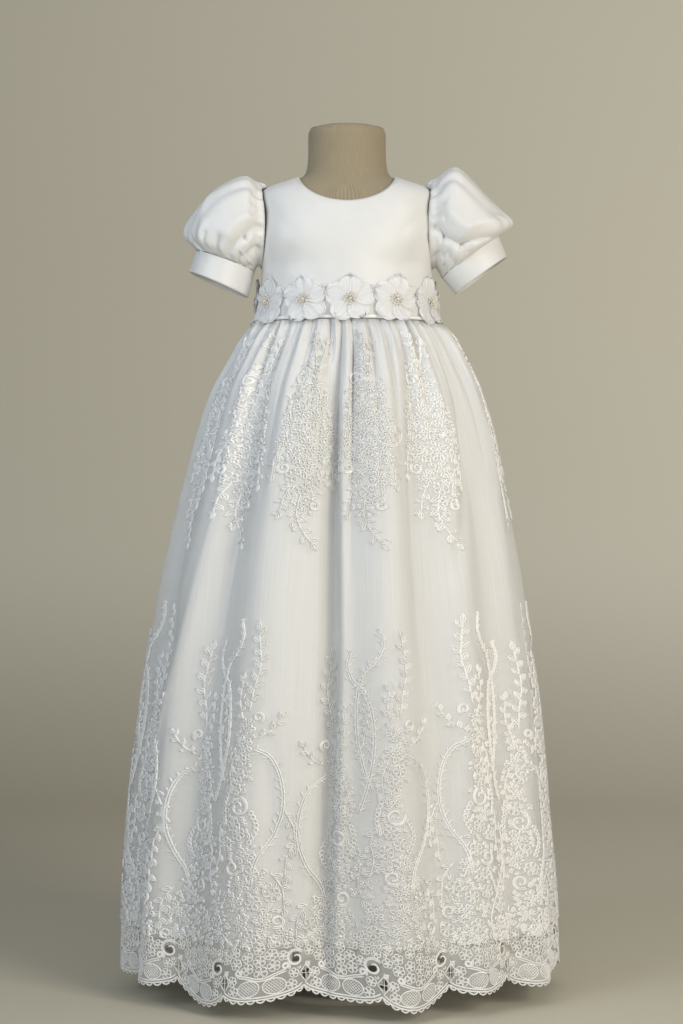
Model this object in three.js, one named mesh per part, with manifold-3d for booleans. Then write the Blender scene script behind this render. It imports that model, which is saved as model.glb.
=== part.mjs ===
// A child's christening gown on a limbless dress form.
// Millimetres, +Z up, the front faces -Y. The floor is z = 0, under the middle of the stand.
// Angles go round the gown in degrees: 0 is centre front, 90 the side towards +X, 180 the back.

import * as THREE from 'three';
import { mergeVertices } from 'three/addons/utils/BufferGeometryUtils.js';
import Module from 'manifold-3d';

const wasm = await Module();
wasm.setup();

const DEG = Math.PI / 180;

// Driving heights of the gown
const NECK_POINT_Z = 852;
const SHOULDER_TIP_Z = 838;
const UNDERARM_Z = 759;
const WAIST_Z = 697;
const LINING_HEM_Z = 70;
const HEM_Z = 22;

// Driving sizes of cloth and seams
const SATIN = 1.2;
const SHEER = 1.0;
const SKIRT_WALL = 1.5;
const SEAM_GAP = 0.3;
const SIDE_SEAM_DEG = 0.27;
const BACK_SEAM_DEG = 0.15;
const MERGE_WITHIN = 1e-4;

// How square the body's sections are
const WAIST_POWER = 2;
const CHEST_POWER = 2.8;
const CHEST_RISE_Z = [752, 790];
const CHEST_FALL_Z = [826, 848];

// Necklines and armholes
const FRONT_NECK_DROP = 32;
const BACK_NECK_DROP = 10;
const ARMHOLE_REACH_DEG = 18;
const BODICE_COLUMNS = 6;
const ARMHOLE_STEPS = 6;

// Skirts
const GATHERS = 36;
const OVERSKIRT_COLUMNS = 72;
const LINING_COLUMN_DEG = 5;
const OVERSKIRT_COLUMN_DEG = 180 / OVERSKIRT_COLUMNS;
const CASCADE_MIDDLES_DEG = [-67.5, -42.5, -15, 7.5, 35, 77.5, 105, 132.5, 160, 187.5, 215, 242.5];
const CASCADE_TOP_Z = 678;
const CASCADE_STEP = 37;
const CASCADE_WIDEST_ROW = 3;
const CASCADE_TIP_COLUMNS = 1;
const OVERSKIRT_HEADING = 7;
const OVERSKIRT_TOP_ROWS = [WAIST_Z - SEAM_GAP, WAIST_Z - OVERSKIRT_HEADING];
const LOWER_ROWS = 4;
const PLAIN_INSIDE_BELOW_Z = 600;
const LINING_ROWS = [0, 0.25, 0.5, 0.72, 0.88, 0.96, 1];

// Hem lace
const LACE_COLUMNS = 36;
const LACE_ROWS = [0, 1];
const SCALLOPS = 18;
const SCALLOP_NOTCH_DEG = -10;
const SCALLOP_RISE = 13;
const EYELET_RISE = 27;
const EYELET_ASIDE_DEG = -2;
const EYELET_RADIUS = 5.6;
const EYELET_SIDES = 6;
const LOZENGE_RISE = 12;
const LOZENGE_ASIDE_DEG = 0.5;
const LOZENGE_HALF_WIDTH = 4.5;
const LOZENGE_HALF_HEIGHT = 6.5;
const CUTTER_DEPTH = 30;

// Waist trim
const BAND_TOP_Z = 733;
const BAND_LIFT = 0.5;
const BAND_CORD_HEIGHT = 5;
const BAND_CORD_BULGE = 1.3;
const BAND_FOOT_BULGE = 0.4;
const BAND_COLUMNS = 44;
const BAND_FINE_STEPS = 1440;
const FLOWERS = 11;
const FIRST_FLOWER_DEG = 2;
const FLOWER_Z = 719;
const FLOWER_LIFT = 0.6;
const CORD_CLEAR_Z = 708;
const CORD_CLEARANCE = 1.8;
const PETALS = 5;
const PETAL_RADIUS = 20;
const PETAL_NOTCH_RADIUS = 13;
const PETAL_ROOT_RADIUS = 8;
const PETAL_TIP_LIFT = 2.6;
const PETAL_NOTCH_LIFT = 1.4;
const PETAL_ROOT_LIFT = 1.8;
const HEART_LIFT = 4;
const RIM_STEPS = 3;

// Sleeves
const SLEEVE_COLUMNS = 24;
const SLEEVE_GATHERS = 12;
const ARMHOLE_LAP_DEG = 2;
const ARMHOLE_LAP = 2.5;
const ARMHOLE_LIFT = 0.9;

// Dress form and stand
const TORSO_COLUMNS = 24;
const POLE_RADIUS = 11;
const BASE_RADIUS = 96;
const BASE_HEIGHT = 8;
const BASE_EDGE = 2.5;
const BASE_SIDES = 36;
const POLE_SIDES = 16;

// Sections of the bodice's outer face, from the waist up to the neck
const BODICE_SECTIONS = [
  { z: 680, half_width: 93.5, half_depth: 72.5, centre_y: 0 },
  { z: 697, half_width: 93, half_depth: 72, centre_y: 0 },
  { z: 722, half_width: 92, half_depth: 71.5, centre_y: 0 },
  { z: 750, half_width: 90, half_depth: 70, centre_y: 0 },
  { z: 787, half_width: 88.5, half_depth: 68, centre_y: 0 },
  { z: 815, half_width: 88.5, half_depth: 62, centre_y: 0 },
  { z: 830, half_width: 89.5, half_depth: 55, centre_y: 1 },
  { z: 837, half_width: 89, half_depth: 51, centre_y: 2 },
  { z: 841, half_width: 82, half_depth: 49, centre_y: 2.5 },
  { z: 846.5, half_width: 66, half_depth: 46.5, centre_y: 3 },
  { z: 852, half_width: 50, half_depth: 44, centre_y: 4 },
  { z: 855, half_width: 42, half_depth: 42.5, centre_y: 4 },
];

// Sections of the dress form, from its closed foot up to the top of its neck
const TORSO_SECTIONS = [
  { z: 528, half_width: 70, half_depth: 55, centre_y: 0 },
  { z: 534, half_width: 78, half_depth: 62, centre_y: 0 },
  { z: 560, half_width: 83, half_depth: 67, centre_y: 0 },
  { z: 600, half_width: 84, half_depth: 67, centre_y: 0 },
  { z: 650, half_width: 80, half_depth: 63, centre_y: 0 },
  { z: 700, half_width: 81, half_depth: 63, centre_y: 0 },
  { z: 750, half_width: 84, half_depth: 65, centre_y: 0 },
  { z: 787, half_width: 84.5, half_depth: 64, centre_y: 0 },
  { z: 812, half_width: 84.5, half_depth: 58, centre_y: 0 },
  { z: 827, half_width: 84.5, half_depth: 51.5, centre_y: 1 },
  { z: 834, half_width: 82.5, half_depth: 48, centre_y: 2 },
  { z: 839.3, half_width: 77, half_depth: 45.7, centre_y: 2.5 },
  { z: 845.1, half_width: 62.5, half_depth: 43.2, centre_y: 3 },
  { z: 849.6, half_width: 49, half_depth: 41, centre_y: 4 },
  { z: 856, half_width: 43.5, half_depth: 39.5, centre_y: 4 },
  { z: 870, half_width: 41, half_depth: 38, centre_y: 4 },
  { z: 898, half_width: 40.5, half_depth: 37.5, centre_y: 4 },
  { z: 903, half_width: 38, half_depth: 35, centre_y: 4 },
  { z: 905, half_width: 33, half_depth: 30.5, centre_y: 4 },
];

// Sections of the overskirt: its ellipse, how far its folds and gathers stand out,
// and how far inside it the lining hangs
const SKIRT_SECTIONS = [
  { z: 0, half_width: 226, half_depth: 177, centre_x: -6, fold: 10, gather: 0, lining_gap: 9 },
  { z: 24, half_width: 225, half_depth: 176, centre_x: -6, fold: 10, gather: 0, lining_gap: 9 },
  { z: 103, half_width: 222, half_depth: 173, centre_x: -7, fold: 10, gather: 0, lining_gap: 9 },
  { z: 187, half_width: 215.5, half_depth: 168.5, centre_x: -8, fold: 9.5, gather: 0, lining_gap: 9 },
  { z: 271, half_width: 208, half_depth: 163, centre_x: -7, fold: 9, gather: 0, lining_gap: 9 },
  { z: 355, half_width: 197, half_depth: 155.5, centre_x: -6, fold: 8.5, gather: 0, lining_gap: 9 },
  { z: 439, half_width: 184, half_depth: 146, centre_x: -5, fold: 8, gather: 0, lining_gap: 9.5 },
  { z: 523, half_width: 166, half_depth: 132.5, centre_x: -3, fold: 7, gather: 0.4, lining_gap: 10 },
  { z: 586, half_width: 150.5, half_depth: 120, centre_x: -1, fold: 6, gather: 0.9, lining_gap: 11 },
  { z: 628, half_width: 136.5, half_depth: 109, centre_x: 0, fold: 4.8, gather: 1.6, lining_gap: 11 },
  { z: 658, half_width: 121, half_depth: 97, centre_x: 1, fold: 3, gather: 2.4, lining_gap: 10 },
  { z: 680, half_width: 110, half_depth: 88, centre_x: 1.2, fold: 1.5, gather: 2.6, lining_gap: 8 },
  { z: 691, half_width: 102.5, half_depth: 81.5, centre_x: 0.6, fold: 0.6, gather: 2.2, lining_gap: 5.8 },
  { z: 697, half_width: 95.8, half_depth: 75, centre_x: 0, fold: 0, gather: 1.4, lining_gap: 3.2 },
  { z: 700, half_width: 93, half_depth: 73, centre_x: 0, fold: 0, gather: 1, lining_gap: 3 },
];

// The skirt's large folds round the gown: where each ridge and the valley after it lie,
// how they stand against the section's fold size, and how far they lean from waist to hem
const FOLDS = [
  { ridge_deg: -85, valley_deg: -70, height: 0.6, depth: 0.7, lean_deg: -4 },
  { ridge_deg: -54, valley_deg: -41, height: 0.8, depth: 1.1, lean_deg: -12 },
  { ridge_deg: -24, valley_deg: -3, height: 1, depth: 1.8, lean_deg: -2 },
  { ridge_deg: 15, valley_deg: 28, height: 1.1, depth: 1.2, lean_deg: 1 },
  { ridge_deg: 41, valley_deg: 53, height: 0.6, depth: 0.8, lean_deg: -4 },
  { ridge_deg: 66, valley_deg: 82, height: 0.9, depth: 0.6, lean_deg: -6 },
  { ridge_deg: 98, valley_deg: 113, height: 0.7, depth: 0.8, lean_deg: 0 },
  { ridge_deg: 128, valley_deg: 144, height: 1, depth: 1.1, lean_deg: 4 },
  { ridge_deg: 158, valley_deg: 173, height: 0.9, depth: 1.3, lean_deg: 2 },
  { ridge_deg: 189, valley_deg: 203, height: 0.8, depth: 0.9, lean_deg: -2 },
  { ridge_deg: 218, valley_deg: 234, height: 1, depth: 1.2, lean_deg: -4 },
  { ridge_deg: 248, valley_deg: 262, height: 0.8, depth: 0.7, lean_deg: 0 },
];
const LEAN_PIVOT = 0.4;

// Where the hem dips below its general height, as the folds let it down
const HEM_DIPS = [
  { angle_deg: -35, drop: 13, half_width_deg: 12 },
  { angle_deg: 17, drop: 12, half_width_deg: 12 },
  { angle_deg: 68, drop: 3, half_width_deg: 12 },
  { angle_deg: 126, drop: 9, half_width_deg: 12 },
  { angle_deg: 187, drop: 12, half_width_deg: 13 },
  { angle_deg: 238, drop: 8, half_width_deg: 12 },
];

// Sections of the puffed sleeves, from armhole to cuff: the ends of each section
// at the body and at the outer edge, seen from the front, and its half depth
const LEFT_SLEEVE = [
  { body_x: -93.5, body_z: 758.5, edge_x: -97, edge_z: 847, half_depth: 41, gather: 1.6 },
  { body_x: -94.2, body_z: 757.5, edge_x: -108, edge_z: 851, half_depth: 46, gather: 1.6 },
  { body_x: -95, body_z: 756.5, edge_x: -127, edge_z: 845, half_depth: 49, gather: 0.9 },
  { body_x: -95.8, body_z: 755.5, edge_x: -145, edge_z: 833, half_depth: 50, gather: 0.5 },
  { body_x: -96.4, body_z: 754.5, edge_x: -160, edge_z: 813, half_depth: 48, gather: 0.9 },
  { body_x: -96.8, body_z: 753.5, edge_x: -168, edge_z: 790, half_depth: 43, gather: 1.6 },
  { body_x: -97, body_z: 752.3, edge_x: -158, edge_z: 774.6, half_depth: 32, gather: 1 },
];
const RIGHT_SLEEVE = [
  { body_x: 93.5, body_z: 758.5, edge_x: 98, edge_z: 851, half_depth: 41, gather: 1.6 },
  { body_x: 94.4, body_z: 757, edge_x: 114, edge_z: 859, half_depth: 46, gather: 1.6 },
  { body_x: 95.6, body_z: 755, edge_x: 131, edge_z: 846, half_depth: 49, gather: 0.9 },
  { body_x: 97, body_z: 753, edge_x: 146, edge_z: 830, half_depth: 50, gather: 0.5 },
  { body_x: 98.3, body_z: 751, edge_x: 160, edge_z: 816, half_depth: 48, gather: 0.9 },
  { body_x: 99.3, body_z: 749, edge_x: 172, edge_z: 802, half_depth: 43, gather: 1.6 },
  { body_x: 100.3, body_z: 746.5, edge_x: 158, edge_z: 789, half_depth: 32, gather: 1 },
];

// The two ends of each cuff, as the sleeves' sections are given
const LEFT_CUFF = [
  { body_x: -97.1, body_z: 751.9, edge_x: -158.1, edge_z: 774.2, half_depth: 33, gather: 0 },
  { body_x: -103.5, body_z: 725, edge_x: -166, edge_z: 752, half_depth: 34, gather: 0 },
];
const RIGHT_CUFF = [
  { body_x: 100.5, body_z: 746.2, edge_x: 158.2, edge_z: 788.7, half_depth: 33, gather: 0 },
  { body_x: 115, body_z: 729, edge_x: 167, edge_z: 767, half_depth: 34, gather: 0 },
];

// Embroidered cascades
const CASCADE_LIFT = 0.45;
const CASCADE_THICKNESS = 0.9;
const CASCADE_RELIEF = 0.6;

const FINISHES = {
  satin: { color: 0xe6e4dd, roughness: 0.38, metalness: 0 },
  organza: { color: 0xeeede8, roughness: 0.55, metalness: 0 },
  lace: { color: 0xf3f1ea, roughness: 0.7, metalness: 0 },
  linen: { color: 0xcbbb97, roughness: 0.9, metalness: 0 },
  stand_paint: { color: 0xa39c8a, roughness: 0.5, metalness: 0 },
};

// The smooth curve through one column of a table of sections, at a height
function sample(table, column, z) {
  const last = table.length - 1;
  const height = Math.min(Math.max(z, table[0].z), table[last].z);
  let row = 0;
  while (row < last - 1 && table[row + 1].z < height) row += 1;
  const slope = (index) => {
    const low = table[Math.max(index - 1, 0)];
    const high = table[Math.min(index + 1, last)];
    return (high[column] - low[column]) / (high.z - low.z);
  };
  const span = table[row + 1].z - table[row].z;
  const t = (height - table[row].z) / span;
  const rise = t * t * (3 - 2 * t);
  const start = table[row][column] * (1 - rise) + slope(row) * span * t * (1 - t) * (1 - t);
  const end = table[row + 1][column] * rise - slope(row + 1) * span * t * t * (1 - t);
  return start + end;
}

function lerp(from, to, t) {
  return from + (to - from) * t;
}

// The power of the body's sections: 2 is an ellipse, and the chest is squarer than waist and neck
function squareness(z) {
  const chest = THREE.MathUtils.smoothstep(z, ...CHEST_RISE_Z) - THREE.MathUtils.smoothstep(z, ...CHEST_FALL_Z);
  return lerp(WAIST_POWER, CHEST_POWER, chest);
}

function sectionPoint(table, angle, z, out = 0) {
  const power = 2 / squareness(z);
  const part = (value) => Math.sign(value) * Math.abs(value) ** power;
  const x = (sample(table, 'half_width', z) + out) * part(Math.sin(angle * DEG));
  const y = (sample(table, 'half_depth', z) + out) * -part(Math.cos(angle * DEG));
  return new THREE.Vector3(x, y + sample(table, 'centre_y', z), z);
}

// A half wave from one value to another
function ease(from, to, t) {
  return from + (to - from) * (1 - Math.cos(Math.PI * t)) / 2;
}

// How far the large folds stand out at an angle and a height, as a share of the fold size
function foldWave(angle, z) {
  const down = (WAIST_Z - z) / WAIST_Z - LEAN_PIVOT;
  const place = (fold, key) => fold[key] + fold.lean_deg * down;
  const first = place(FOLDS[0], 'ridge_deg');
  const turned = first + ((((angle - first) % 360) + 360) % 360);
  let index = 0;
  while (index < FOLDS.length - 1 && place(FOLDS[index + 1], 'ridge_deg') <= turned) index += 1;
  const fold = FOLDS[index];
  const next = FOLDS[(index + 1) % FOLDS.length];
  const ridge = place(fold, 'ridge_deg');
  const valley = place(fold, 'valley_deg');
  const nextRidge = place(next, 'ridge_deg') + (index === FOLDS.length - 1 ? 360 : 0);
  if (turned < valley) return ease(fold.height, -fold.depth, (turned - ridge) / (valley - ridge));
  return ease(-fold.depth, next.height, (turned - valley) / (nextRidge - valley));
}

// The gathers at the waist as a zigzag between 1 and -1
function gatherWave(angle) {
  const turn = (((angle * GATHERS) / 360) % 1 + 1) % 1;
  return 4 * Math.abs(turn - 0.5) - 1;
}

// A point on the skirt's folded section, a level distance out from it
function skirtPoint(angle, z, out) {
  const reach = out + sample(SKIRT_SECTIONS, 'fold', z) * foldWave(angle, z);
  const x = (sample(SKIRT_SECTIONS, 'half_width', z) + reach) * Math.sin(angle * DEG);
  const y = (sample(SKIRT_SECTIONS, 'half_depth', z) + reach) * -Math.cos(angle * DEG);
  return new THREE.Vector3(x + sample(SKIRT_SECTIONS, 'centre_x', z), y, z);
}

function overskirtPoint(angle, z, out = 0) {
  return skirtPoint(angle, z, out + sample(SKIRT_SECTIONS, 'gather', z) * gatherWave(angle));
}

function liningPoint(angle, z, out = 0) {
  return skirtPoint(angle, z, out - sample(SKIRT_SECTIONS, 'lining_gap', z));
}

function steps(count, valueAt) {
  return Array.from({ length: count }, (_, index) => valueAt(index));
}

// Grids are rows of points: rows go up the cloth, columns go round it with rising angle.
// The first and last columns stop short by the inset, to leave the gap of a seam.
function panelGrid(pointAt, { fromDeg, toDeg, insetDeg }, columns, heights, out = 0) {
  const angleAt = (j) => {
    return Math.min(Math.max(lerp(fromDeg, toDeg, j / columns), fromDeg + insetDeg), toDeg - insetDeg);
  };
  return heights.map((z) => steps(columns + 1, (j) => pointAt(angleAt(j), z, out)));
}

function normalAt(grid, i, j, closed) {
  const columns = grid[0].length;
  const wrap = (index) => (index + columns) % columns;
  const before = closed ? wrap(j - 1) : Math.max(j - 1, 0);
  const after = closed ? wrap(j + 1) : Math.min(j + 1, columns - 1);
  const across = grid[i][after].clone().sub(grid[i][before]);
  const above = grid[Math.min(i + 1, grid.length - 1)][j];
  const upward = above.clone().sub(grid[Math.max(i - 1, 0)][j]);
  return across.cross(upward).normalize();
}

// The same cloth moved out along its normals, by a distance or by a rule for each point
function movedOut(grid, distance, closed = false) {
  const amount = typeof distance === 'function' ? distance : () => distance;
  return grid.map((row, i) => row.map((point, j) => {
    return point.clone().addScaledVector(normalAt(grid, i, j, closed), amount(i, j));
  }));
}

// Triangles between two edges of a wall, each edge a list of point numbers
function zipEdges(points, outerEdge, innerEdge, triangles) {
  const lengths = (edge) => {
    const sums = [0];
    for (let k = 1; k < edge.length; k += 1) {
      sums.push(sums[k - 1] + points[edge[k]].distanceTo(points[edge[k - 1]]));
    }
    return sums.map((sum) => sum / sums[sums.length - 1]);
  };
  const outerAt = lengths(outerEdge);
  const innerAt = lengths(innerEdge);
  let p = 0;
  let q = 0;
  while (p < outerEdge.length - 1 || q < innerEdge.length - 1) {
    const outerNext = p < outerEdge.length - 1 ? outerAt[p + 1] : Infinity;
    const innerNext = q < innerEdge.length - 1 ? innerAt[q + 1] : Infinity;
    if (outerNext <= innerNext) {
      triangles.push(outerEdge[p + 1], outerEdge[p], innerEdge[q]);
      p += 1;
    } else {
      triangles.push(outerEdge[p], innerEdge[q], innerEdge[q + 1]);
      q += 1;
    }
  }
}

function geometryFrom(points, triangles) {
  const geometry = new THREE.BufferGeometry();
  const positions = points.flatMap((point) => point.toArray());
  geometry.setAttribute('position', new THREE.Float32BufferAttribute(positions, 3));
  geometry.setIndex(triangles);
  geometry.computeVertexNormals();
  return geometry;
}

// The two triangles of a grid's cell, parted along the diagonal that rises to the right or left
function cellTriangles(ids, i, j, risesRight) {
  const next = (j + 1) % ids[0].length;
  const [a, b, c, d] = [ids[i][j], ids[i][next], ids[i + 1][next], ids[i + 1][j]];
  return risesRight ? [[a, b, c], [a, c, d]] : [[a, b, d], [b, c, d]];
}

// A closed wall of cloth between an outer and an inner grid
function clothWall(outer, inner, closed = false, risesRight = () => true) {
  const points = [];
  const triangles = [];
  const number = (grid) => grid.map((row) => row.map((point) => points.push(point) - 1));
  const skin = (ids, visit) => {
    const columns = closed ? ids[0].length : ids[0].length - 1;
    for (let i = 0; i < ids.length - 1; i += 1) {
      for (let j = 0; j < columns; j += 1) visit(i, j);
    }
  };
  const outerIds = number(outer);
  const innerIds = number(inner);
  skin(outerIds, (i, j) => triangles.push(...cellTriangles(outerIds, i, j, risesRight(i, j)).flat()));
  skin(innerIds, (i, j) => triangles.push(...cellTriangles(innerIds, i, j, true).flat().toReversed()));
  const ring = (row) => (closed ? [...row, row[0]] : row);
  const side = (ids, j) => ids.map((row) => row.at(j));
  zipEdges(points, ring(outerIds[0]), ring(innerIds[0]), triangles);
  zipEdges(points, ring(outerIds.at(-1)).toReversed(), ring(innerIds.at(-1)).toReversed(), triangles);
  if (!closed) {
    zipEdges(points, side(outerIds, -1), side(innerIds, -1), triangles);
    zipEdges(points, side(outerIds, 0).toReversed(), side(innerIds, 0).toReversed(), triangles);
  }
  return geometryFrom(points, triangles);
}

function toManifold(geometry) {
  const bare = geometry.clone();
  bare.deleteAttribute('normal');
  bare.deleteAttribute('uv');
  const merged = mergeVertices(bare, MERGE_WITHIN);
  return new wasm.Manifold(new wasm.Mesh({
    numProp: 3,
    vertProperties: new Float32Array(merged.attributes.position.array),
    triVerts: new Uint32Array(merged.index.array),
  }));
}

function fromManifold(solid) {
  const mesh = solid.getMesh();
  const geometry = new THREE.BufferGeometry();
  geometry.setAttribute('position', new THREE.Float32BufferAttribute(mesh.vertProperties, 3));
  geometry.setIndex(Array.from(mesh.triVerts));
  geometry.computeVertexNormals();
  return geometry;
}

const gown = new THREE.Group();

function addPiece(name, geometry, finish) {
  const piece = new THREE.Mesh(geometry, new THREE.MeshStandardMaterial(FINISHES[finish]));
  piece.name = name;
  gown.add(piece);
}

// Stand: a turned base disc and a plain pole up to the form's foot
function buildStand() {
  const profile = [
    new THREE.Vector2(0, 0),
    new THREE.Vector2(BASE_RADIUS, 0),
    new THREE.Vector2(BASE_RADIUS, BASE_HEIGHT - BASE_EDGE),
    new THREE.Vector2(BASE_RADIUS - BASE_EDGE, BASE_HEIGHT),
    new THREE.Vector2(0, BASE_HEIGHT),
  ];
  const base = new THREE.LatheGeometry(profile, BASE_SIDES).rotateX(Math.PI / 2);
  addPiece('stand_base', base, 'stand_paint');
  const poleFrom = BASE_HEIGHT + SEAM_GAP;
  const poleTo = TORSO_SECTIONS[0].z - SEAM_GAP;
  const pole = new THREE.CylinderGeometry(POLE_RADIUS, POLE_RADIUS, poleTo - poleFrom, POLE_SIDES);
  pole.rotateX(Math.PI / 2).translate(0, 0, (poleFrom + poleTo) / 2);
  addPiece('stand_pole', pole, 'stand_paint');
}

// Dress form: one closed body with a flat foot and a capped neck
function buildTorso() {
  const rings = TORSO_SECTIONS.map(({ z }) => steps(TORSO_COLUMNS, (j) => {
    return sectionPoint(TORSO_SECTIONS, (360 * j) / TORSO_COLUMNS, z);
  }));
  const points = rings.flat();
  const triangles = [];
  for (let i = 0; i < rings.length - 1; i += 1) {
    for (let j = 0; j < TORSO_COLUMNS; j += 1) {
      const next = (j + 1) % TORSO_COLUMNS;
      const [a, b] = [i * TORSO_COLUMNS + j, i * TORSO_COLUMNS + next];
      triangles.push(a, b, b + TORSO_COLUMNS, a, b + TORSO_COLUMNS, a + TORSO_COLUMNS);
    }
  }
  const topStart = (rings.length - 1) * TORSO_COLUMNS;
  for (let j = 1; j < TORSO_COLUMNS - 1; j += 1) {
    triangles.push(0, j + 1, j);
    triangles.push(topStart, topStart + j, topStart + j + 1);
  }
  addPiece('form_torso', geometryFrom(points, triangles), 'linen');
}

const ARMHOLE_MID_Z = (UNDERARM_Z + SHOULDER_TIP_Z) / 2;
const ARMHOLE_HALF_HEIGHT = (SHOULDER_TIP_Z - UNDERARM_Z) / 2;

// How far round from its centre a bodice panel reaches at a height: to the seam or the armhole
function panelReach(z) {
  const seam = 90 - SIDE_SEAM_DEG;
  const share = (z - ARMHOLE_MID_Z) / ARMHOLE_HALF_HEIGHT;
  if (Math.abs(share) >= 1) return seam;
  return seam - ARMHOLE_REACH_DEG * Math.sqrt(1 - share * share);
}

// Heights of a bodice panel's rows along its side, as shares of the way from waist to neck point
function bodiceRows() {
  const armhole = steps(ARMHOLE_STEPS + 1, (k) => {
    return ARMHOLE_MID_Z - ARMHOLE_HALF_HEIGHT * Math.cos((Math.PI * k) / ARMHOLE_STEPS);
  });
  const below = [WAIST_Z, (WAIST_Z + UNDERARM_Z) / 2];
  const above = [(SHOULDER_TIP_Z + NECK_POINT_Z) / 2, NECK_POINT_Z];
  return [...below, ...armhole, ...above].map((z) => (z - WAIST_Z) / (NECK_POINT_Z - WAIST_Z));
}

// A point of a bodice panel: share is 0 at the panel's centre line and 1 at its side,
// and rise is 0 at the waist and 1 at the neckline
function bodicePoint(share, rise, neckDrop, facesBack) {
  const neckHalfWidth = sample(BODICE_SECTIONS, 'half_width', NECK_POINT_Z);
  const neckX = neckHalfWidth * Math.sin(Math.abs(share) * 90 * DEG);
  const neckZ = NECK_POINT_Z - neckDrop * Math.cos(share * 90 * DEG);
  const neckReach = Math.min(neckX / sample(BODICE_SECTIONS, 'half_width', neckZ), 1);
  const neckTurn = Math.asin(neckReach ** (squareness(neckZ) / 2)) / DEG;
  const topShare = Math.min(neckTurn / panelReach(neckZ), 1);
  const turn = lerp(Math.abs(share), topShare, rise * rise) * Math.sign(share);
  const z = lerp(WAIST_Z, neckZ, rise);
  const angle = turn * panelReach(z);
  return sectionPoint(BODICE_SECTIONS, facesBack ? 180 + angle : angle, z);
}

function buildBodice() {
  const half = steps(BODICE_COLUMNS + 1, (j) => Math.sin(((90 * j) / BODICE_COLUMNS) * DEG));
  const rows = bodiceRows();
  const panel = (shares, neckDrop, facesBack) => {
    const outer = rows.map((rise) => shares.map((share) => bodicePoint(share, rise, neckDrop, facesBack)));
    return clothWall(outer, movedOut(outer, -SATIN));
  };
  const mirrored = half.slice(1).map((share) => -share).toReversed();
  addPiece('bodice_front', panel([...mirrored, ...half], FRONT_NECK_DROP, false), 'satin');
  const backEdge = BACK_SEAM_DEG / 90;
  const backHalf = half.map((share) => Math.max(share, backEdge));
  addPiece('bodice_back_left', panel(backHalf, BACK_NECK_DROP, true), 'satin');
  const backMirrored = backHalf.map((share) => -share).toReversed();
  addPiece('bodice_back_right', panel(backMirrored, BACK_NECK_DROP, true), 'satin');
}

// One section of a sleeve or cuff as a ring: it starts at the outer edge and goes round by the front
function sleeveRing(section, side) {
  const edge = new THREE.Vector3(section.edge_x, 0, section.edge_z);
  const body = new THREE.Vector3(section.body_x, 0, section.body_z);
  const middle = edge.clone().add(body).multiplyScalar(0.5);
  const along = edge.clone().sub(middle);
  return steps(SLEEVE_COLUMNS, (j) => {
    const turn = (2 * Math.PI * j) / SLEEVE_COLUMNS;
    const wave = Math.cos(Math.PI * j * (2 * SLEEVE_GATHERS / SLEEVE_COLUMNS));
    const swell = 1 + (section.gather * wave * (1 + Math.cos(turn))) / (2 * along.length());
    const point = middle.clone().addScaledVector(along, Math.cos(turn) * swell);
    point.y = -side * section.half_depth * Math.sin(turn) * swell;
    return point;
  });
}

// The ring where a sleeve laps the bodice round its armhole
function armholeRing(side) {
  return steps(SLEEVE_COLUMNS, (j) => {
    const turn = (2 * Math.PI * j) / SLEEVE_COLUMNS;
    const z = ARMHOLE_MID_Z + (ARMHOLE_HALF_HEIGHT + ARMHOLE_LAP) * Math.cos(turn);
    const angle = side * 90 - (ARMHOLE_REACH_DEG + ARMHOLE_LAP_DEG) * Math.sin(turn);
    return sectionPoint(BODICE_SECTIONS, angle, z, ARMHOLE_LIFT);
  });
}

function buildSleeve(name, side, sections, cuffSections) {
  const outer = [armholeRing(side), ...sections.map((section) => sleeveRing(section, side))];
  const inner = movedOut(outer, -SATIN, true);
  addPiece(`sleeve_${name}`, clothWall(outer, inner, true), 'satin');
  const cuffOuter = cuffSections.map((section) => sleeveRing(section, side));
  addPiece(`cuff_${name}`, clothWall(cuffOuter, movedOut(cuffOuter, -SATIN, true), true), 'satin');
}

function bandPoint(angle, z, out = 0) {
  return sectionPoint(BODICE_SECTIONS, angle, z, BAND_LIFT + SHEER + out);
}

// Waistband: a flat band with a cord along its lower edge
function buildWaistband() {
  const rows = [
    { z: WAIST_Z + SEAM_GAP, bulge: BAND_FOOT_BULGE },
    { z: WAIST_Z + BAND_CORD_HEIGHT / 2, bulge: BAND_CORD_BULGE },
    { z: WAIST_Z + BAND_CORD_HEIGHT, bulge: 0 },
    { z: BAND_TOP_Z, bulge: 0 },
  ];
  const ring = (z, out) => steps(BAND_COLUMNS, (j) => bandPoint((360 * j) / BAND_COLUMNS, z, out));
  const outer = rows.map(({ z, bulge }) => ring(z, bulge));
  const inner = [ring(rows[0].z, -SHEER), ring(BAND_TOP_Z, -SHEER)];
  addPiece('waistband', clothWall(outer, inner, true), 'organza');
}

// Angles that part the band's round into equal lengths, starting at the first flower
function evenBandAngles(count) {
  const angleAt = (k) => FIRST_FLOWER_DEG + (360 * k) / BAND_FINE_STEPS;
  const points = steps(BAND_FINE_STEPS + 1, (k) => bandPoint(angleAt(k), FLOWER_Z));
  const sums = [0];
  for (let k = 1; k <= BAND_FINE_STEPS; k += 1) {
    sums.push(sums[k - 1] + points[k].distanceTo(points[k - 1]));
  }
  return steps(count, (index) => {
    const target = (sums[BAND_FINE_STEPS] * index) / count;
    return angleAt(sums.findIndex((sum) => sum >= target));
  });
}

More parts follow.
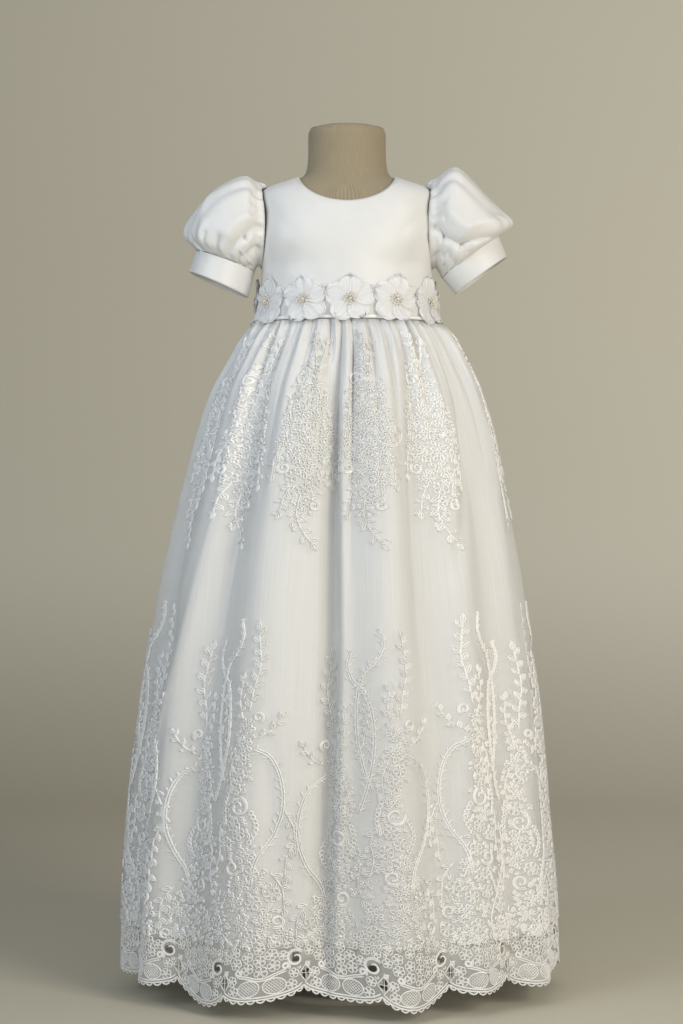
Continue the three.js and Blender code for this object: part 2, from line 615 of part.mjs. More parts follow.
// Waist flowers: petals cupped round a bead cluster, on the band's own points moved out
function buildFlowers() {
  const rimCount = PETALS * RIM_STEPS;
  const rim = steps(rimCount, (k) => {
    const turn = (360 * k) / rimCount;
    const isNotch = k % RIM_STEPS === 0;
    if (isNotch) return { turn, radius: PETAL_NOTCH_RADIUS, lift: PETAL_NOTCH_LIFT };
    return { turn, radius: PETAL_RADIUS, lift: PETAL_TIP_LIFT };
  });
  const roots = steps(PETALS, (k) => {
    return { turn: (360 * k) / PETALS, radius: PETAL_ROOT_RADIUS, lift: PETAL_ROOT_LIFT };
  });
  const heart = { turn: 0, radius: 0, lift: HEART_LIFT };
  const spots = [heart, ...roots, ...rim];
  evenBandAngles(FLOWERS).forEach((angle, index) => {
    const degPerMm = 1 / (bandPoint(angle + 0.5, FLOWER_Z).distanceTo(bandPoint(angle - 0.5, FLOWER_Z)));
    const place = ({ turn, radius }, out) => {
      const across = radius * Math.sin(turn * DEG) * degPerMm;
      const z = FLOWER_Z + radius * Math.cos(turn * DEG);
      const overCord = z < CORD_CLEAR_Z ? CORD_CLEARANCE : 0;
      return bandPoint(angle + across, z, FLOWER_LIFT + overCord + out);
    };
    const points = [...spots.map((spot) => place(spot, spot.lift)), ...spots.map((spot) => place(spot, 0))];
    const under = spots.length;
    const triangles = [];
    const face = (a, b, c) => triangles.push(a, b, c, c + under, b + under, a + under);
    for (let k = 0; k < PETALS; k += 1) {
      const next = (k + 1) % PETALS;
      const rimAt = (step) => 1 + PETALS + ((RIM_STEPS * k + step) % rimCount);
      face(0, 1 + next, 1 + k);
      face(1 + k, rimAt(1), rimAt(0));
      face(1 + k, rimAt(2), rimAt(1));
      face(1 + k, 1 + next, rimAt(2));
      face(1 + next, rimAt(3), rimAt(2));
      for (let step = 0; step < RIM_STEPS; step += 1) {
        const [a, b] = [rimAt(step), rimAt(step + 1)];
        triangles.push(a, b, b + under, a, b + under, a + under);
      }
    }
    addPiece(`flower_${String(index + 1).padStart(2, '0')}`, geometryFrom(points, triangles), 'organza');
  });
}

function overskirtRows() {
  const cascade = steps(2 * CASCADE_WIDEST_ROW + 1, (k) => CASCADE_TOP_Z - CASCADE_STEP * k);
  const lowest = LINING_HEM_Z + SEAM_GAP;
  const lower = steps(LOWER_ROWS, (k) => lerp(cascade.at(-1), lowest, (k + 1) / LOWER_ROWS));
  return [...OVERSKIRT_TOP_ROWS, ...cascade, ...lower].toReversed();
}

const CASCADE_FOOT_Z = CASCADE_TOP_Z - 2 * CASCADE_WIDEST_ROW * CASCADE_STEP;

// Diagonals of the overskirt's cells run along the sides of the nearest cascade's leaf outline
function cascadeDiagonal(z, angle) {
  const away = CASCADE_MIDDLES_DEG.map((middle) => angle - middle);
  const nearest = away.reduce((best, next) => (Math.abs(next) < Math.abs(best) ? next : best));
  const isAbove = z >= CASCADE_TOP_Z - CASCADE_WIDEST_ROW * CASCADE_STEP;
  return isAbove === nearest < 0;
}

// Panels of a skirt run from side seam to side seam, front and back
const SKIRT_PANELS = [
  { name: 'front', fromDeg: -90, toDeg: 90, insetDeg: SIDE_SEAM_DEG },
  { name: 'back', fromDeg: 90, toDeg: 270, insetDeg: SIDE_SEAM_DEG },
];

// The lining has a seam down its centre back too
const LINING_PANELS = [
  SKIRT_PANELS[0],
  { name: 'back_right', fromDeg: 90, toDeg: 180, insetDeg: SIDE_SEAM_DEG },
  { name: 'back_left', fromDeg: 180, toDeg: 270, insetDeg: SIDE_SEAM_DEG },
];

function buildLining() {
  const heights = LINING_ROWS.map((share) => lerp(LINING_HEM_Z, WAIST_Z - SEAM_GAP, share));
  LINING_PANELS.forEach((panel) => {
    const columns = (panel.toDeg - panel.fromDeg) / LINING_COLUMN_DEG;
    const outer = panelGrid(liningPoint, panel, columns, heights);
    const inner = panelGrid(liningPoint, panel, columns, heights, -SKIRT_WALL);
    addPiece(`underskirt_${panel.name}`, clothWall(outer, inner), 'satin');
  });
}

function buildOverskirt() {
  const rows = overskirtRows();
  const insideRows = rows.filter((z, i) => i % 2 === 0 || z > PLAIN_INSIDE_BELOW_Z);
  SKIRT_PANELS.forEach((panel) => {
    const outer = panelGrid(overskirtPoint, panel, OVERSKIRT_COLUMNS, rows);
    const inner = panelGrid(overskirtPoint, panel, OVERSKIRT_COLUMNS / 2, insideRows, -SKIRT_WALL);
    const cellMiddle = (j) => panel.fromDeg + (j + 0.5) * OVERSKIRT_COLUMN_DEG;
    const risesRight = (i, j) => cascadeDiagonal(rows[i], cellMiddle(j));
    addPiece(`overskirt_${panel.name}`, clothWall(outer, inner, false, risesRight), 'organza');
  });
}

// Embroidered cascades: the overskirt's own points, moved out, inside a leaf outline
function buildCascades() {
  const widest = CASCADE_TIP_COLUMNS + CASCADE_WIDEST_ROW;
  const heights = overskirtRows().filter((z) => z <= CASCADE_TOP_Z && z >= CASCADE_FOOT_Z);
  const reachDeg = widest * OVERSKIRT_COLUMN_DEG;
  const inside = (i, j) => Math.abs(j - widest) <= widest - Math.abs(i - CASCADE_WIDEST_ROW);
  const relief = (i, j) => ((i + j) % 2 === 0 ? CASCADE_RELIEF : 0);
  CASCADE_MIDDLES_DEG.forEach((middle, index) => {
    const span = { fromDeg: middle - reachDeg, toDeg: middle + reachDeg, insetDeg: 0 };
    const cellMiddle = (j) => span.fromDeg + (j + 0.5) * OVERSKIRT_COLUMN_DEG;
    const risesRight = (i, j) => cascadeDiagonal(heights[i], cellMiddle(j));
    const grid = panelGrid(overskirtPoint, span, 2 * widest, heights);
    const under = movedOut(grid, CASCADE_LIFT);
    const over = movedOut(grid, (i, j) => CASCADE_LIFT + CASCADE_THICKNESS + relief(i, j));
    const name = `cascade_${String(index + 1).padStart(2, '0')}`;
    addPiece(name, appliedPatch(over, under, inside, risesRight), 'lace');
  });
}

// A closed patch on a cloth's cells, holding each triangle whose corners lie inside its outline
function appliedPatch(over, under, inside, risesRight) {
  const columns = over[0].length;
  const points = [...over.flat(), ...under.flat()];
  const ids = over.map((row, i) => row.map((_, j) => i * columns + j));
  const below = over.length * columns;
  const isInside = (id) => inside(Math.floor(id / columns), id % columns);
  const triangles = [];
  const edges = new Map();
  for (let i = 0; i < over.length - 1; i += 1) {
    for (let j = 0; j < columns - 1; j += 1) {
      const cells = cellTriangles(ids, i, j, risesRight(i, j));
      cells.filter((cell) => cell.every(isInside)).forEach(([a, b, c]) => {
        triangles.push(a, b, c, c + below, b + below, a + below);
        [[a, b], [b, c], [c, a]].forEach(([from, to]) => edges.set(`${from},${to}`, [from, to]));
      });
    }
  }
  edges.forEach(([from, to]) => {
    if (edges.has(`${to},${from}`)) return;
    triangles.push(to, from, from + below, to, from + below, to + below);
  });
  return geometryFrom(points, triangles);
}

// The scalloped lower edge of the hem lace
function hemEdgeZ(angle) {
  const turn = ((((angle - SCALLOP_NOTCH_DEG) * SCALLOPS) / 360) % 1 + 1) % 1;
  const across = turn * 2 - 1;
  const scallop = SCALLOP_RISE * (1 - Math.sqrt(1 - across * across));
  const dips = HEM_DIPS.map(({ angle_deg, drop, half_width_deg }) => {
    const away = ((((angle - angle_deg + 180) % 360) + 360) % 360) - 180;
    return drop * Math.exp(-((away / half_width_deg) ** 2));
  });
  return HEM_Z + scallop - dips.reduce((sum, dip) => sum + dip, 0);
}

// A cutter for one gap in the lace: an outline pushed straight through the wall
function gapCutter(outline, angle, z) {
  const shape = new THREE.Shape(outline);
  const cutter = new THREE.ExtrudeGeometry(shape, { depth: CUTTER_DEPTH, bevelEnabled: false });
  cutter.translate(0, 0, -CUTTER_DEPTH / 2);
  const across = overskirtPoint(angle + 1, z).sub(overskirtPoint(angle - 1, z)).normalize();
  const up = new THREE.Vector3(0, 0, 1);
  const outward = across.clone().cross(up);
  const place = new THREE.Matrix4().makeBasis(across, up, outward);
  place.setPosition(overskirtPoint(angle, z));
  return toManifold(cutter.applyMatrix4(place));
}

function roundOutline(radius, sides) {
  return steps(sides, (k) => {
    const turn = (2 * Math.PI * (k + 0.5)) / sides;
    return new THREE.Vector2(radius * Math.cos(turn), radius * Math.sin(turn));
  });
}

// Hem lace: the overskirt's embroidered border below the lining, its widest gaps cut through above
// each notch of the scallops: a round one inside a scroll and a lozenge under it
function buildHemLace() {
  const lozenge = [
    new THREE.Vector2(LOZENGE_HALF_WIDTH, 0),
    new THREE.Vector2(0, LOZENGE_HALF_HEIGHT),
    new THREE.Vector2(-LOZENGE_HALF_WIDTH, 0),
    new THREE.Vector2(0, -LOZENGE_HALF_HEIGHT),
  ];
  const eyelet = roundOutline(EYELET_RADIUS, EYELET_SIDES);
  const repeat = 360 / SCALLOPS;
  SKIRT_PANELS.forEach((panel) => {
    const lacePoint = (angle, share, out) => {
      return overskirtPoint(angle, lerp(hemEdgeZ(angle), LINING_HEM_Z, share), out);
    };
    const outer = panelGrid(lacePoint, panel, LACE_COLUMNS, LACE_ROWS);
    const inner = panelGrid(lacePoint, panel, LACE_COLUMNS, LACE_ROWS, -SKIRT_WALL);
    let lace = toManifold(clothWall(outer, inner));
    for (let index = 1; index < SCALLOPS / 2; index += 1) {
      const notch = panel.fromDeg + repeat * index;
      const edge = hemEdgeZ(notch);
      lace = lace.subtract(gapCutter(lozenge, notch + LOZENGE_ASIDE_DEG, edge + LOZENGE_RISE));
      lace = lace.subtract(gapCutter(eyelet, notch + EYELET_ASIDE_DEG, edge + EYELET_RISE));
    }
    addPiece(`hem_lace_${panel.name}`, fromManifold(lace), 'lace');
  });
}

buildStand();
buildTorso();
buildBodice();
buildSleeve('left', -1, LEFT_SLEEVE, LEFT_CUFF);
buildSleeve('right', 1, RIGHT_SLEEVE, RIGHT_CUFF);
buildWaistband();
buildFlowers();
buildLining();
buildOverskirt();
buildCascades();
buildHemLace();

export default gown;
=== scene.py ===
"""A child's christening gown on a limbless dress form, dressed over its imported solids.

Tables hold millimetres in the part's own frame: +Z up, the front faces -Y, the floor is z = 0.
Angles go round the gown in degrees: 0 is centre front, 90 the side towards +X, 180 the back.
"""

from __future__ import annotations

import logging
import math
from collections.abc import Callable, Iterable, Sequence
from dataclasses import dataclass, field
from enum import Enum

import bmesh
import bpy
import numpy as np
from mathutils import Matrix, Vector

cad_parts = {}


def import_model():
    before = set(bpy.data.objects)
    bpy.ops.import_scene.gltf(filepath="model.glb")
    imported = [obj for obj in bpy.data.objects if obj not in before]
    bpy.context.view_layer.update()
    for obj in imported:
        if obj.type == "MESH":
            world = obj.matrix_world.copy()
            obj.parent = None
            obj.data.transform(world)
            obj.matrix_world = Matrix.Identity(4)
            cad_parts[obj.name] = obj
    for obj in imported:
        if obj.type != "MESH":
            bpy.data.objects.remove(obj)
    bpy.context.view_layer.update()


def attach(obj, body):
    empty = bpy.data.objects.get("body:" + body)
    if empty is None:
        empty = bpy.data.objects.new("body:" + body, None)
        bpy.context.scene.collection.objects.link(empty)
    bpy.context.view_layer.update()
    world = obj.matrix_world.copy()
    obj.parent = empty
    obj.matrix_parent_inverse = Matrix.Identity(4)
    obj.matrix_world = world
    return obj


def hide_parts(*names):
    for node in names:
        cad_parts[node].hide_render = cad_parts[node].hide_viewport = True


LOG = logging.getLogger("gown")
MM = 0.001
BODY = "root"

Array = np.ndarray
Values = Array | float
Place = tuple[float, float]
Spot = tuple[float, float, float]
Box = tuple[float, float, float, float]
Colour = tuple[float, float, float]
PointRule = Callable[[Array, Array], Array]
Draw = np.random.Generator
Piece = bpy.types.Object
Material = bpy.types.Material


class Side(Enum):
    """The two sides of the gown as seen from the front."""

    LEFT = -1
    RIGHT = 1


class Slot(Enum):
    """Material slots of the part."""

    SATIN = "satin"
    ORGANZA = "organza"
    LACE = "lace"
    PEARL = "pearl"
    LINEN = "linen"
    PAINT = "stand_paint"


class Lay(Enum):
    """Which way threads lie on a cloth."""

    ACROSS = "X"
    ALONG = "Y"
    SLANTED = "DIAGONAL"


class Frame(Enum):
    """What a pattern is laid out in."""

    CLOTH = "UV"
    SPACE = "Object"


# Forms of the garment


@dataclass(frozen=True)
class SectionTable:
    """Named columns of sizes at rising heights, joined by smooth curves."""

    heights: tuple[float, ...]
    columns: dict[str, tuple[float, ...]]

    def at(self, column: str, height: Values) -> Array:
        """Read one column at any height.

        Args:
            column: Name of the column.
            height: Heights to read it at.

        Returns:
            The column's values there.
        """
        z = np.asarray(self.heights)
        value = np.asarray(self.columns[column])
        last = len(z) - 1
        below = np.maximum(np.arange(len(z)) - 1, 0)
        above = np.minimum(np.arange(len(z)) + 1, last)
        slope = (value[above] - value[below]) / (z[above] - z[below])
        level = np.clip(height, z[0], z[-1])
        row = np.clip(np.searchsorted(z, level, side="left") - 1, 0, last - 1)
        span = z[row + 1] - z[row]
        t = (level - z[row]) / span
        rise = t * t * (3 - 2 * t)
        start = value[row] * (1 - rise) + slope[row] * span * t * (1 - t) ** 2
        return start + value[row + 1] * rise - slope[row + 1] * span * t * t * (1 - t)

    def point(self, angle: Values, height: Values, out: Values = 0.0) -> Array:
        """Find points on the elliptic sections.

        Args:
            angle: Degrees round the gown.
            height: Heights of the points.
            out: Distance out from the section.

        Returns:
            The points.
        """
        power = 2 / squareness(height)
        sin, cos = np.sin(np.radians(angle)), np.cos(np.radians(angle))
        x = (self.at("half_width", height) + out) * np.sign(sin) * np.abs(sin) ** power
        y = -(self.at("half_depth", height) + out) * np.sign(cos) * np.abs(cos) ** power
        y = y + self.at("centre_y", height)
        return np.stack(np.broadcast_arrays(x, y, np.asarray(height, dtype=float)), axis=-1)


def soft_step(low: float, high: float, value: Values) -> Array:
    """Ease from 0 at the low end to 1 at the high end."""
    t = np.clip((np.asarray(value) - low) / (high - low), 0, 1)
    return t * t * (3 - 2 * t)


def squareness(height: Values) -> Array:
    """Power of the body's sections: 2 is an ellipse, and the chest is squarer than waist and neck."""
    return 2 + 0.8 * soft_step(752, 790, height) * (1 - soft_step(826, 848, height))


def turn_between(angle: Values, middle: Values) -> Array:
    """Degrees from a middle to an angle, from -180 to 180."""
    return np.mod(angle - middle + 180, 360) - 180


def run_along(path: Array) -> Array:
    """Distance along a path at each of its points."""
    return np.concatenate(([0], np.cumsum(np.linalg.norm(np.diff(path, axis=0), axis=1))))


def at_run(path: Array, run: Array, at: Values) -> Array:
    """Points of a flat path at distances along it."""
    return np.stack([np.interp(at, run, path[:, axis]) for axis in (0, 1)], -1)


def unit(vectors: Array) -> Array:
    """Vectors drawn out or in to a length of one."""
    return vectors / np.maximum(np.linalg.norm(vectors, axis=1, keepdims=True), 1e-9)


def curve_between(a: Array, b: Array, c: Array, d: Array, t: Array) -> Array:
    """Points at shares t of the way on a smooth curve from b to c, between neighbours a and d."""
    bend = (2 * a - 5 * b + 4 * c - d) * t**2 + (3 * b - 3 * c + d - a) * t**3
    return b + 0.5 * ((c - a) * t + bend)


BODICE = SectionTable(
    heights=(680, 697, 722, 750, 787, 815, 830, 837, 841, 846.5, 852, 855),
    columns={
        "half_width": (93.5, 93, 92, 90, 88.5, 88.5, 89.5, 89, 82, 66, 50, 42),
        "half_depth": (72.5, 72, 71.5, 70, 68, 62, 55, 51, 49, 46.5, 44, 42.5),
        "centre_y": (0, 0, 0, 0, 0, 0, 1, 2, 2.5, 3, 4, 4),
    },
)

TORSO = SectionTable(
    heights=(
        528, 534, 560, 600, 650, 700, 750, 787, 812, 827,
        834, 839.3, 845.1, 849.6, 856, 870, 898, 903, 905,
    ),
    columns={
        "half_width": (
            70, 78, 83, 84, 80, 81, 84, 84.5, 84.5, 84.5,
            82.5, 77, 62.5, 49, 43.5, 41, 40.5, 38, 33,
        ),
        "half_depth": (
            55, 62, 67, 67, 63, 63, 65, 64, 58, 51.5,
            48, 45.7, 43.2, 41, 39.5, 38, 37.5, 35, 30.5,
        ),
        "centre_y": (0, 0, 0, 0, 0, 0, 0, 0, 0, 1, 2, 2.5, 3, 4, 4, 4, 4, 4, 4),
    },
)

SKIRT = SectionTable(
    heights=(0, 24, 103, 187, 271, 355, 439, 523, 586, 628, 658, 680, 691, 697, 700),
    columns={
        "half_width": (
            226, 225, 222, 215.5, 208, 197, 184, 166, 150.5, 136.5, 121, 110, 102.5, 95.8, 93,
        ),
        "half_depth": (
            177, 176, 173, 168.5, 163, 155.5, 146, 132.5, 120, 109, 97, 88, 81.5, 75, 73,
        ),
        "centre_x": (-6, -6, -7, -8, -7, -6, -5, -3, -1, 0, 1, 1.2, 0.6, 0, 0),
        "fold": (10, 10, 10, 9.5, 9, 8.5, 8, 7, 6, 4.8, 3, 1.5, 0.6, 0, 0),
        "gather": (0, 0, 0, 0, 0, 0, 0, 0.4, 0.9, 1.6, 2.4, 2.6, 2.2, 1.4, 1),
        "lining_gap": (9, 9, 9, 9, 9, 9, 9.5, 10, 11, 11, 10, 8, 5.8, 3.2, 3),
    },
)

# The skirt's large folds: where each ridge and the valley after it lie, how far they stand
# against the section's fold size, and how far they lean from waist to hem
FOLDS = np.array(
    [
        (-85, -70, 0.6, 0.7, -4), (-54, -41, 0.8, 1.1, -12), (-24, -3, 1.0, 1.8, -2),
        (15, 28, 1.1, 1.2, 1), (41, 53, 0.6, 0.8, -4), (66, 82, 0.9, 0.6, -6),
        (98, 113, 0.7, 0.8, 0), (128, 144, 1.0, 1.1, 4), (158, 173, 0.9, 1.3, 2),
        (189, 203, 0.8, 0.9, -2), (218, 234, 1.0, 1.2, -4), (248, 262, 0.8, 0.7, 0),
    ],
    dtype=[("ridge", float), ("valley", float), ("height", float), ("depth", float), ("lean", float)],
)

# Where the hem dips below its general height: angle, drop and half width in degrees
HEM_DIPS = ((-35, 13, 12), (17, 12, 12), (68, 3, 12), (126, 9, 12), (187, 12, 13), (238, 8, 12))


@dataclass(frozen=True)
class Crease:
    """A soft trough, or a ridge where its depth is negative, that runs down the skirt."""

    top_z: float
    foot_z: float
    top_deg: float
    middle_deg: float
    foot_deg: float
    left_deg: float
    right_deg: float
    depth: float
    crisp: float = 2.0

    def sink(self, angle: Array, z: Array) -> Array:
        """How far the crease sinks the cloth.

        Args:
            angle: Degrees round the gown.
            z: Heights.

        Returns:
            The depth at each place.
        """
        t = np.clip((self.top_z - z) / (self.top_z - self.foot_z), 0, 1)
        bend = 2 * (self.top_deg + self.foot_deg - 2 * self.middle_deg)
        middle = self.top_deg + (self.foot_deg - self.top_deg) * t - bend * t * (1 - t)
        away = turn_between(angle, middle)
        width = np.where(away < 0, self.left_deg, self.right_deg)
        fade = 1 - (2 * t - 1) ** 4
        return self.depth * fade * np.exp(-np.abs(away / width) ** self.crisp)


@dataclass(frozen=True)
class Gather:
    """A narrow tuck that falls from the waist seam and dies out below it."""

    angle: float
    length: float
    width: float
    depth: float
    lean: float = 0.0
    seam_z: float = 697.0
    start_length: float = 7.0

    def sink(self, angle: Array, z: Array) -> Array:
        """How far the tuck sinks the cloth.

        Args:
            angle: Degrees round the gown.
            z: Heights.

        Returns:
            The depth at each place.
        """
        t = np.clip((self.seam_z - z) / self.length, 0, 1)
        away = turn_between(angle - self.angle, self.lean * t)
        start = np.clip((self.seam_z - z) / self.start_length, 0, 1)
        across = np.abs(away / (self.width * (1 + t))) ** 1.4
        return self.depth * start * (1 - t) ** 1.3 * np.exp(-across)


# Top and foot heights; angles at the top, middle and foot; half widths to left and right; depth;
# and how crisp the trough is
CREASES = tuple(
    Crease(*row)
    for row in (
        (696, 6, -6.2, -2, -5, 4.0, 1.6, 17, 3.2), (640, 60, -46, -47, -50, 11, 8, 5),
        (670, 4, -3.6, 0.4, -2.6, 1.0, 2.4, -4), (694, 330, -41, -40.5, -44, 3.6, 3.2, 6),
        (694, 300, 31, 24.5, 27, 2.2, 3, 6), (610, 420, 55, 46, 36, 3.2, 3, 4),
        (640, 180, -47, -52, -70, 2.6, 2.2, -3.5), (670, 360, 74, 64, 60, 2.6, 3, -3),
        (420, 4, -62, -66, -60, 4, 3.4, 4), (330, 4, 44, 40, 44, 3.6, 3, 5),
        (300, 4, -20, -17, -13, 2.6, 3, 4), (694, 40, 113, 118, 112, 2.4, 3.4, 6),
        (694, 200, 146, 143, 150, 3.4, 2.4, 6), (694, 6, 172, 177, 173, 3, 1.6, 8),
        (640, 120, 205, 200, 206, 2.6, 3.2, 6), (694, 30, 232, 236, 230, 3.2, 2.2, 6),
        (600, 240, 259, 255, 262, 2.6, 3, 4),
    )
)

# Angle, length, half width in degrees, depth and lean in degrees: long tucks, then short ones between
FRONT_GATHERS = tuple(
    Gather(*row)
    for row in (
        (-74, 70, 1.8, 6.8, -2), (-63, 100, 1.8, 8.5, -3), (-53, 55, 1.4, 6.8, -1),
        (-44, 160, 1.7, 11.9, -2), (-36, 70, 1.3, 6.8), (-27.5, 50, 1.2, 6.0), (-19, 80, 1.2, 8.5),
        (-13, 65, 1.1, 7.6), (-8.5, 100, 1.2, 9.3, 1), (-3, 70, 0.99, 8.5, 0.5), (4.5, 45, 1.2, 6.0),
        (11.5, 75, 1.2, 7.6), (18.4, 60, 1.2, 7.6), (26, 48, 1.3, 6.0), (37, 170, 1.5, 13.6, -3),
        (46, 58, 1.4, 6.8), (59, 100, 1.6, 8.5, 1), (71, 70, 1.7, 7.6),
        (-58, 26, 0.75, 6.0), (-48.5, 34, 0.75, 7.0), (-40, 22, 0.7, 6.0), (-31, 38, 0.75, 7.5),
        (-23, 30, 0.7, 6.5), (-16, 24, 0.65, 6.0), (-10.8, 36, 0.7, 7.0), (-5.8, 28, 0.65, 6.5),
        (1, 32, 0.65, 7.0), (8, 26, 0.7, 6.0), (14.8, 40, 0.7, 7.5), (22, 30, 0.7, 6.5),
        (31, 34, 0.75, 7.0), (41.5, 26, 0.7, 6.0), (52, 38, 0.75, 7.0), (65, 30, 0.8, 6.5),
    )
)
BACK_GATHERS = tuple(
    Gather(
        angle=84 + 8.6 * k + 2 * math.sin(2.7 * k),
        length=85 + 42 * math.sin(2.3 * k),
        width=1.8,
        depth=7 + 2 * math.sin(1.7 * k),
    )
    for k in range(23)
)


def waves(angle: Array, terms: Iterable[tuple[int, float, float]]) -> Array:
    """Sum waves round the gown, each given by its count, its size and its start."""
    turn = np.radians(angle)
    return sum(size * np.sin(count * turn + start) for count, size, start in terms)


@dataclass(frozen=True)
class SkirtForm:
    """The folded bell that both skirts and the hem lace follow."""

    waist_z: float = 697.0
    lining_hem_z: float = 70.0
    hem_z: float = 22.0
    lean_pivot: float = 0.4
    gathers: int = 44
    scallops: int = 18
    scallop_notch_deg: float = -10.0
    scallop_rise: float = 13.0
    gather_roundness: float = 0.5
    sheer_gather: float = 1.9
    satin_gather: float = 2.3

    def fold_wave(self, angle: Array, z: Array) -> Array:
        """How far the large folds stand out, as a share of the section's fold size.

        Args:
            angle: Degrees round the gown, in a flat array.
            z: Heights, in an array of the same length.

        Returns:
            The share at each point.
        """
        down = (self.waist_z - z) / self.waist_z - self.lean_pivot
        ridge = FOLDS["ridge"][:, None] + FOLDS["lean"][:, None] * down
        valley = FOLDS["valley"][:, None] + FOLDS["lean"][:, None] * down
        turned = ridge[0] + np.mod(angle - ridge[0], 360)
        index = (ridge[1:] <= turned).sum(axis=0)
        after = (index + 1) % len(FOLDS)
        place = np.arange(len(z))
        top, low = ridge[index, place], valley[index, place]
        next_top = ridge[after, place] + 360 * (index == len(FOLDS) - 1)
        falls = turned < low
        t = np.where(falls, (turned - top) / (low - top), (turned - low) / (next_top - low))
        high = np.where(falls, FOLDS["height"][index], FOLDS["height"][after])
        share = (1 - np.cos(np.pi * t)) / 2
        share = np.where(falls, share, 1 - share)
        return high - (high + FOLDS["depth"][index]) * share

    def point(self, angle: Array, z: Array, out: Array) -> Array:
        """Find points on the folded bell, a level distance out from it.

        Args:
            angle: Degrees round the gown.
            z: Heights.
            out: Distances out.

        Returns:
            The points.
        """
        reach = out + SKIRT.at("fold", z) * self.fold_wave(angle, z)
        folds = (*CREASES, *FRONT_GATHERS, *BACK_GATHERS)
        reach = reach - sum(fold.sink(angle, z) for fold in folds)
        turn = np.radians(angle)
        x = (SKIRT.at("half_width", z) + reach) * np.sin(turn) + SKIRT.at("centre_x", z)
        y = -(SKIRT.at("half_depth", z) + reach) * np.cos(turn)
        return np.stack((x, y, z), axis=-1)

    def gather_wave(self, angle: Array, z: Array) -> Array:
        """How far the gathers stand out: round ridges of uneven size between narrow valleys.

        Args:
            angle: Degrees round the gown.
            z: Heights.

        Returns:
            The distance at each place.
        """
        longer = waves(angle, ((7, 18, 0.4), (13, 14, 1.9), (29, 10, 0.7)))
        size = SKIRT.at("gather", z + longer) * (1 + waves(angle, ((5, 0.2, 1), (11, 0.25, 2.1))))
        shift = waves(angle, ((9, 1.1, 0.3), (16, 0.8, 1.2)))
        ridge = np.abs(np.cos(np.radians(self.gathers * (angle + shift) / 2)))
        return size * (2 * ridge**self.gather_roundness - 1)

    def outer(self, angle: Values, z: Values, out: Values = 0.0, satin: bool = False) -> Array:
        """Points on a skirt, whose gathers are of uneven size and length.

        Args:
            angle: Degrees round the gown.
            z: Heights.
            out: Distance out from the cloth.
            satin: Whether it is the satin underskirt, which hangs inside the sheer one.

        Returns:
            The points.
        """
        angle, z, out = (np.ravel(a).astype(float) for a in np.broadcast_arrays(angle, z, out))
        gathers = self.gather_wave(angle, z)
        if satin:
            return self.point(angle, z, out + self.satin_gather * gathers - SKIRT.at("lining_gap", z))
        fine = SKIRT.at("gather", z) * waves(angle, ((83, 0.22, 0.5), (61, 0.18, 2)))
        return self.point(angle, z, out + self.sheer_gather * gathers + fine)

    def hem_base(self, angle: Array) -> Array:
        """Find the height of the scallops' tips.

        Args:
            angle: Degrees round the hem.

        Returns:
            The height at each angle.
        """
        low = np.zeros_like(angle, dtype=float)
        for middle, drop, width in HEM_DIPS:
            low += drop * np.exp(-((turn_between(angle, middle) / width) ** 2))
        return self.hem_z - low

    def scallop(self, angle: Array) -> Array:
        """How far the hem's scalloped edge rises above the scallops' tips."""
        across = np.mod((angle - self.scallop_notch_deg) * self.scallops / 360, 1) * 2 - 1
        return self.scallop_rise * (1 - np.sqrt(np.maximum(1 - across**2, 0)))

    def degrees_per_mm(self, angle: float, z: float) -> float:
        """Find how many degrees one millimetre takes on the smooth section.

        Args:
            angle: Degrees round the gown.
            z: Height of the section.

        Returns:
            The degrees.
        """
        turn = math.radians(angle)
        wide = float(SKIRT.at("half_width", z)) * math.cos(turn)
        deep = float(SKIRT.at("half_depth", z)) * math.sin(turn)
        return math.degrees(1 / math.hypot(wide, deep))

    def even_angles(self, count: int, start: float, z: float) -> Array:
        """Angles that part the section's round into equal lengths.

        Args:
            count: Number of angles.
            start: The first angle.
            z: Height of the section.

        Returns:
            The angles in degrees.
        """
        angle = np.linspace(start, start + 360, 1441)
        x = float(SKIRT.at("half_width", z)) * np.sin(np.radians(angle))
        y = float(SKIRT.at("half_depth", z)) * np.cos(np.radians(angle))
        run = run_along(np.stack((x, y), -1))
        return np.interp(np.arange(count) / count * run[-1], run, angle)


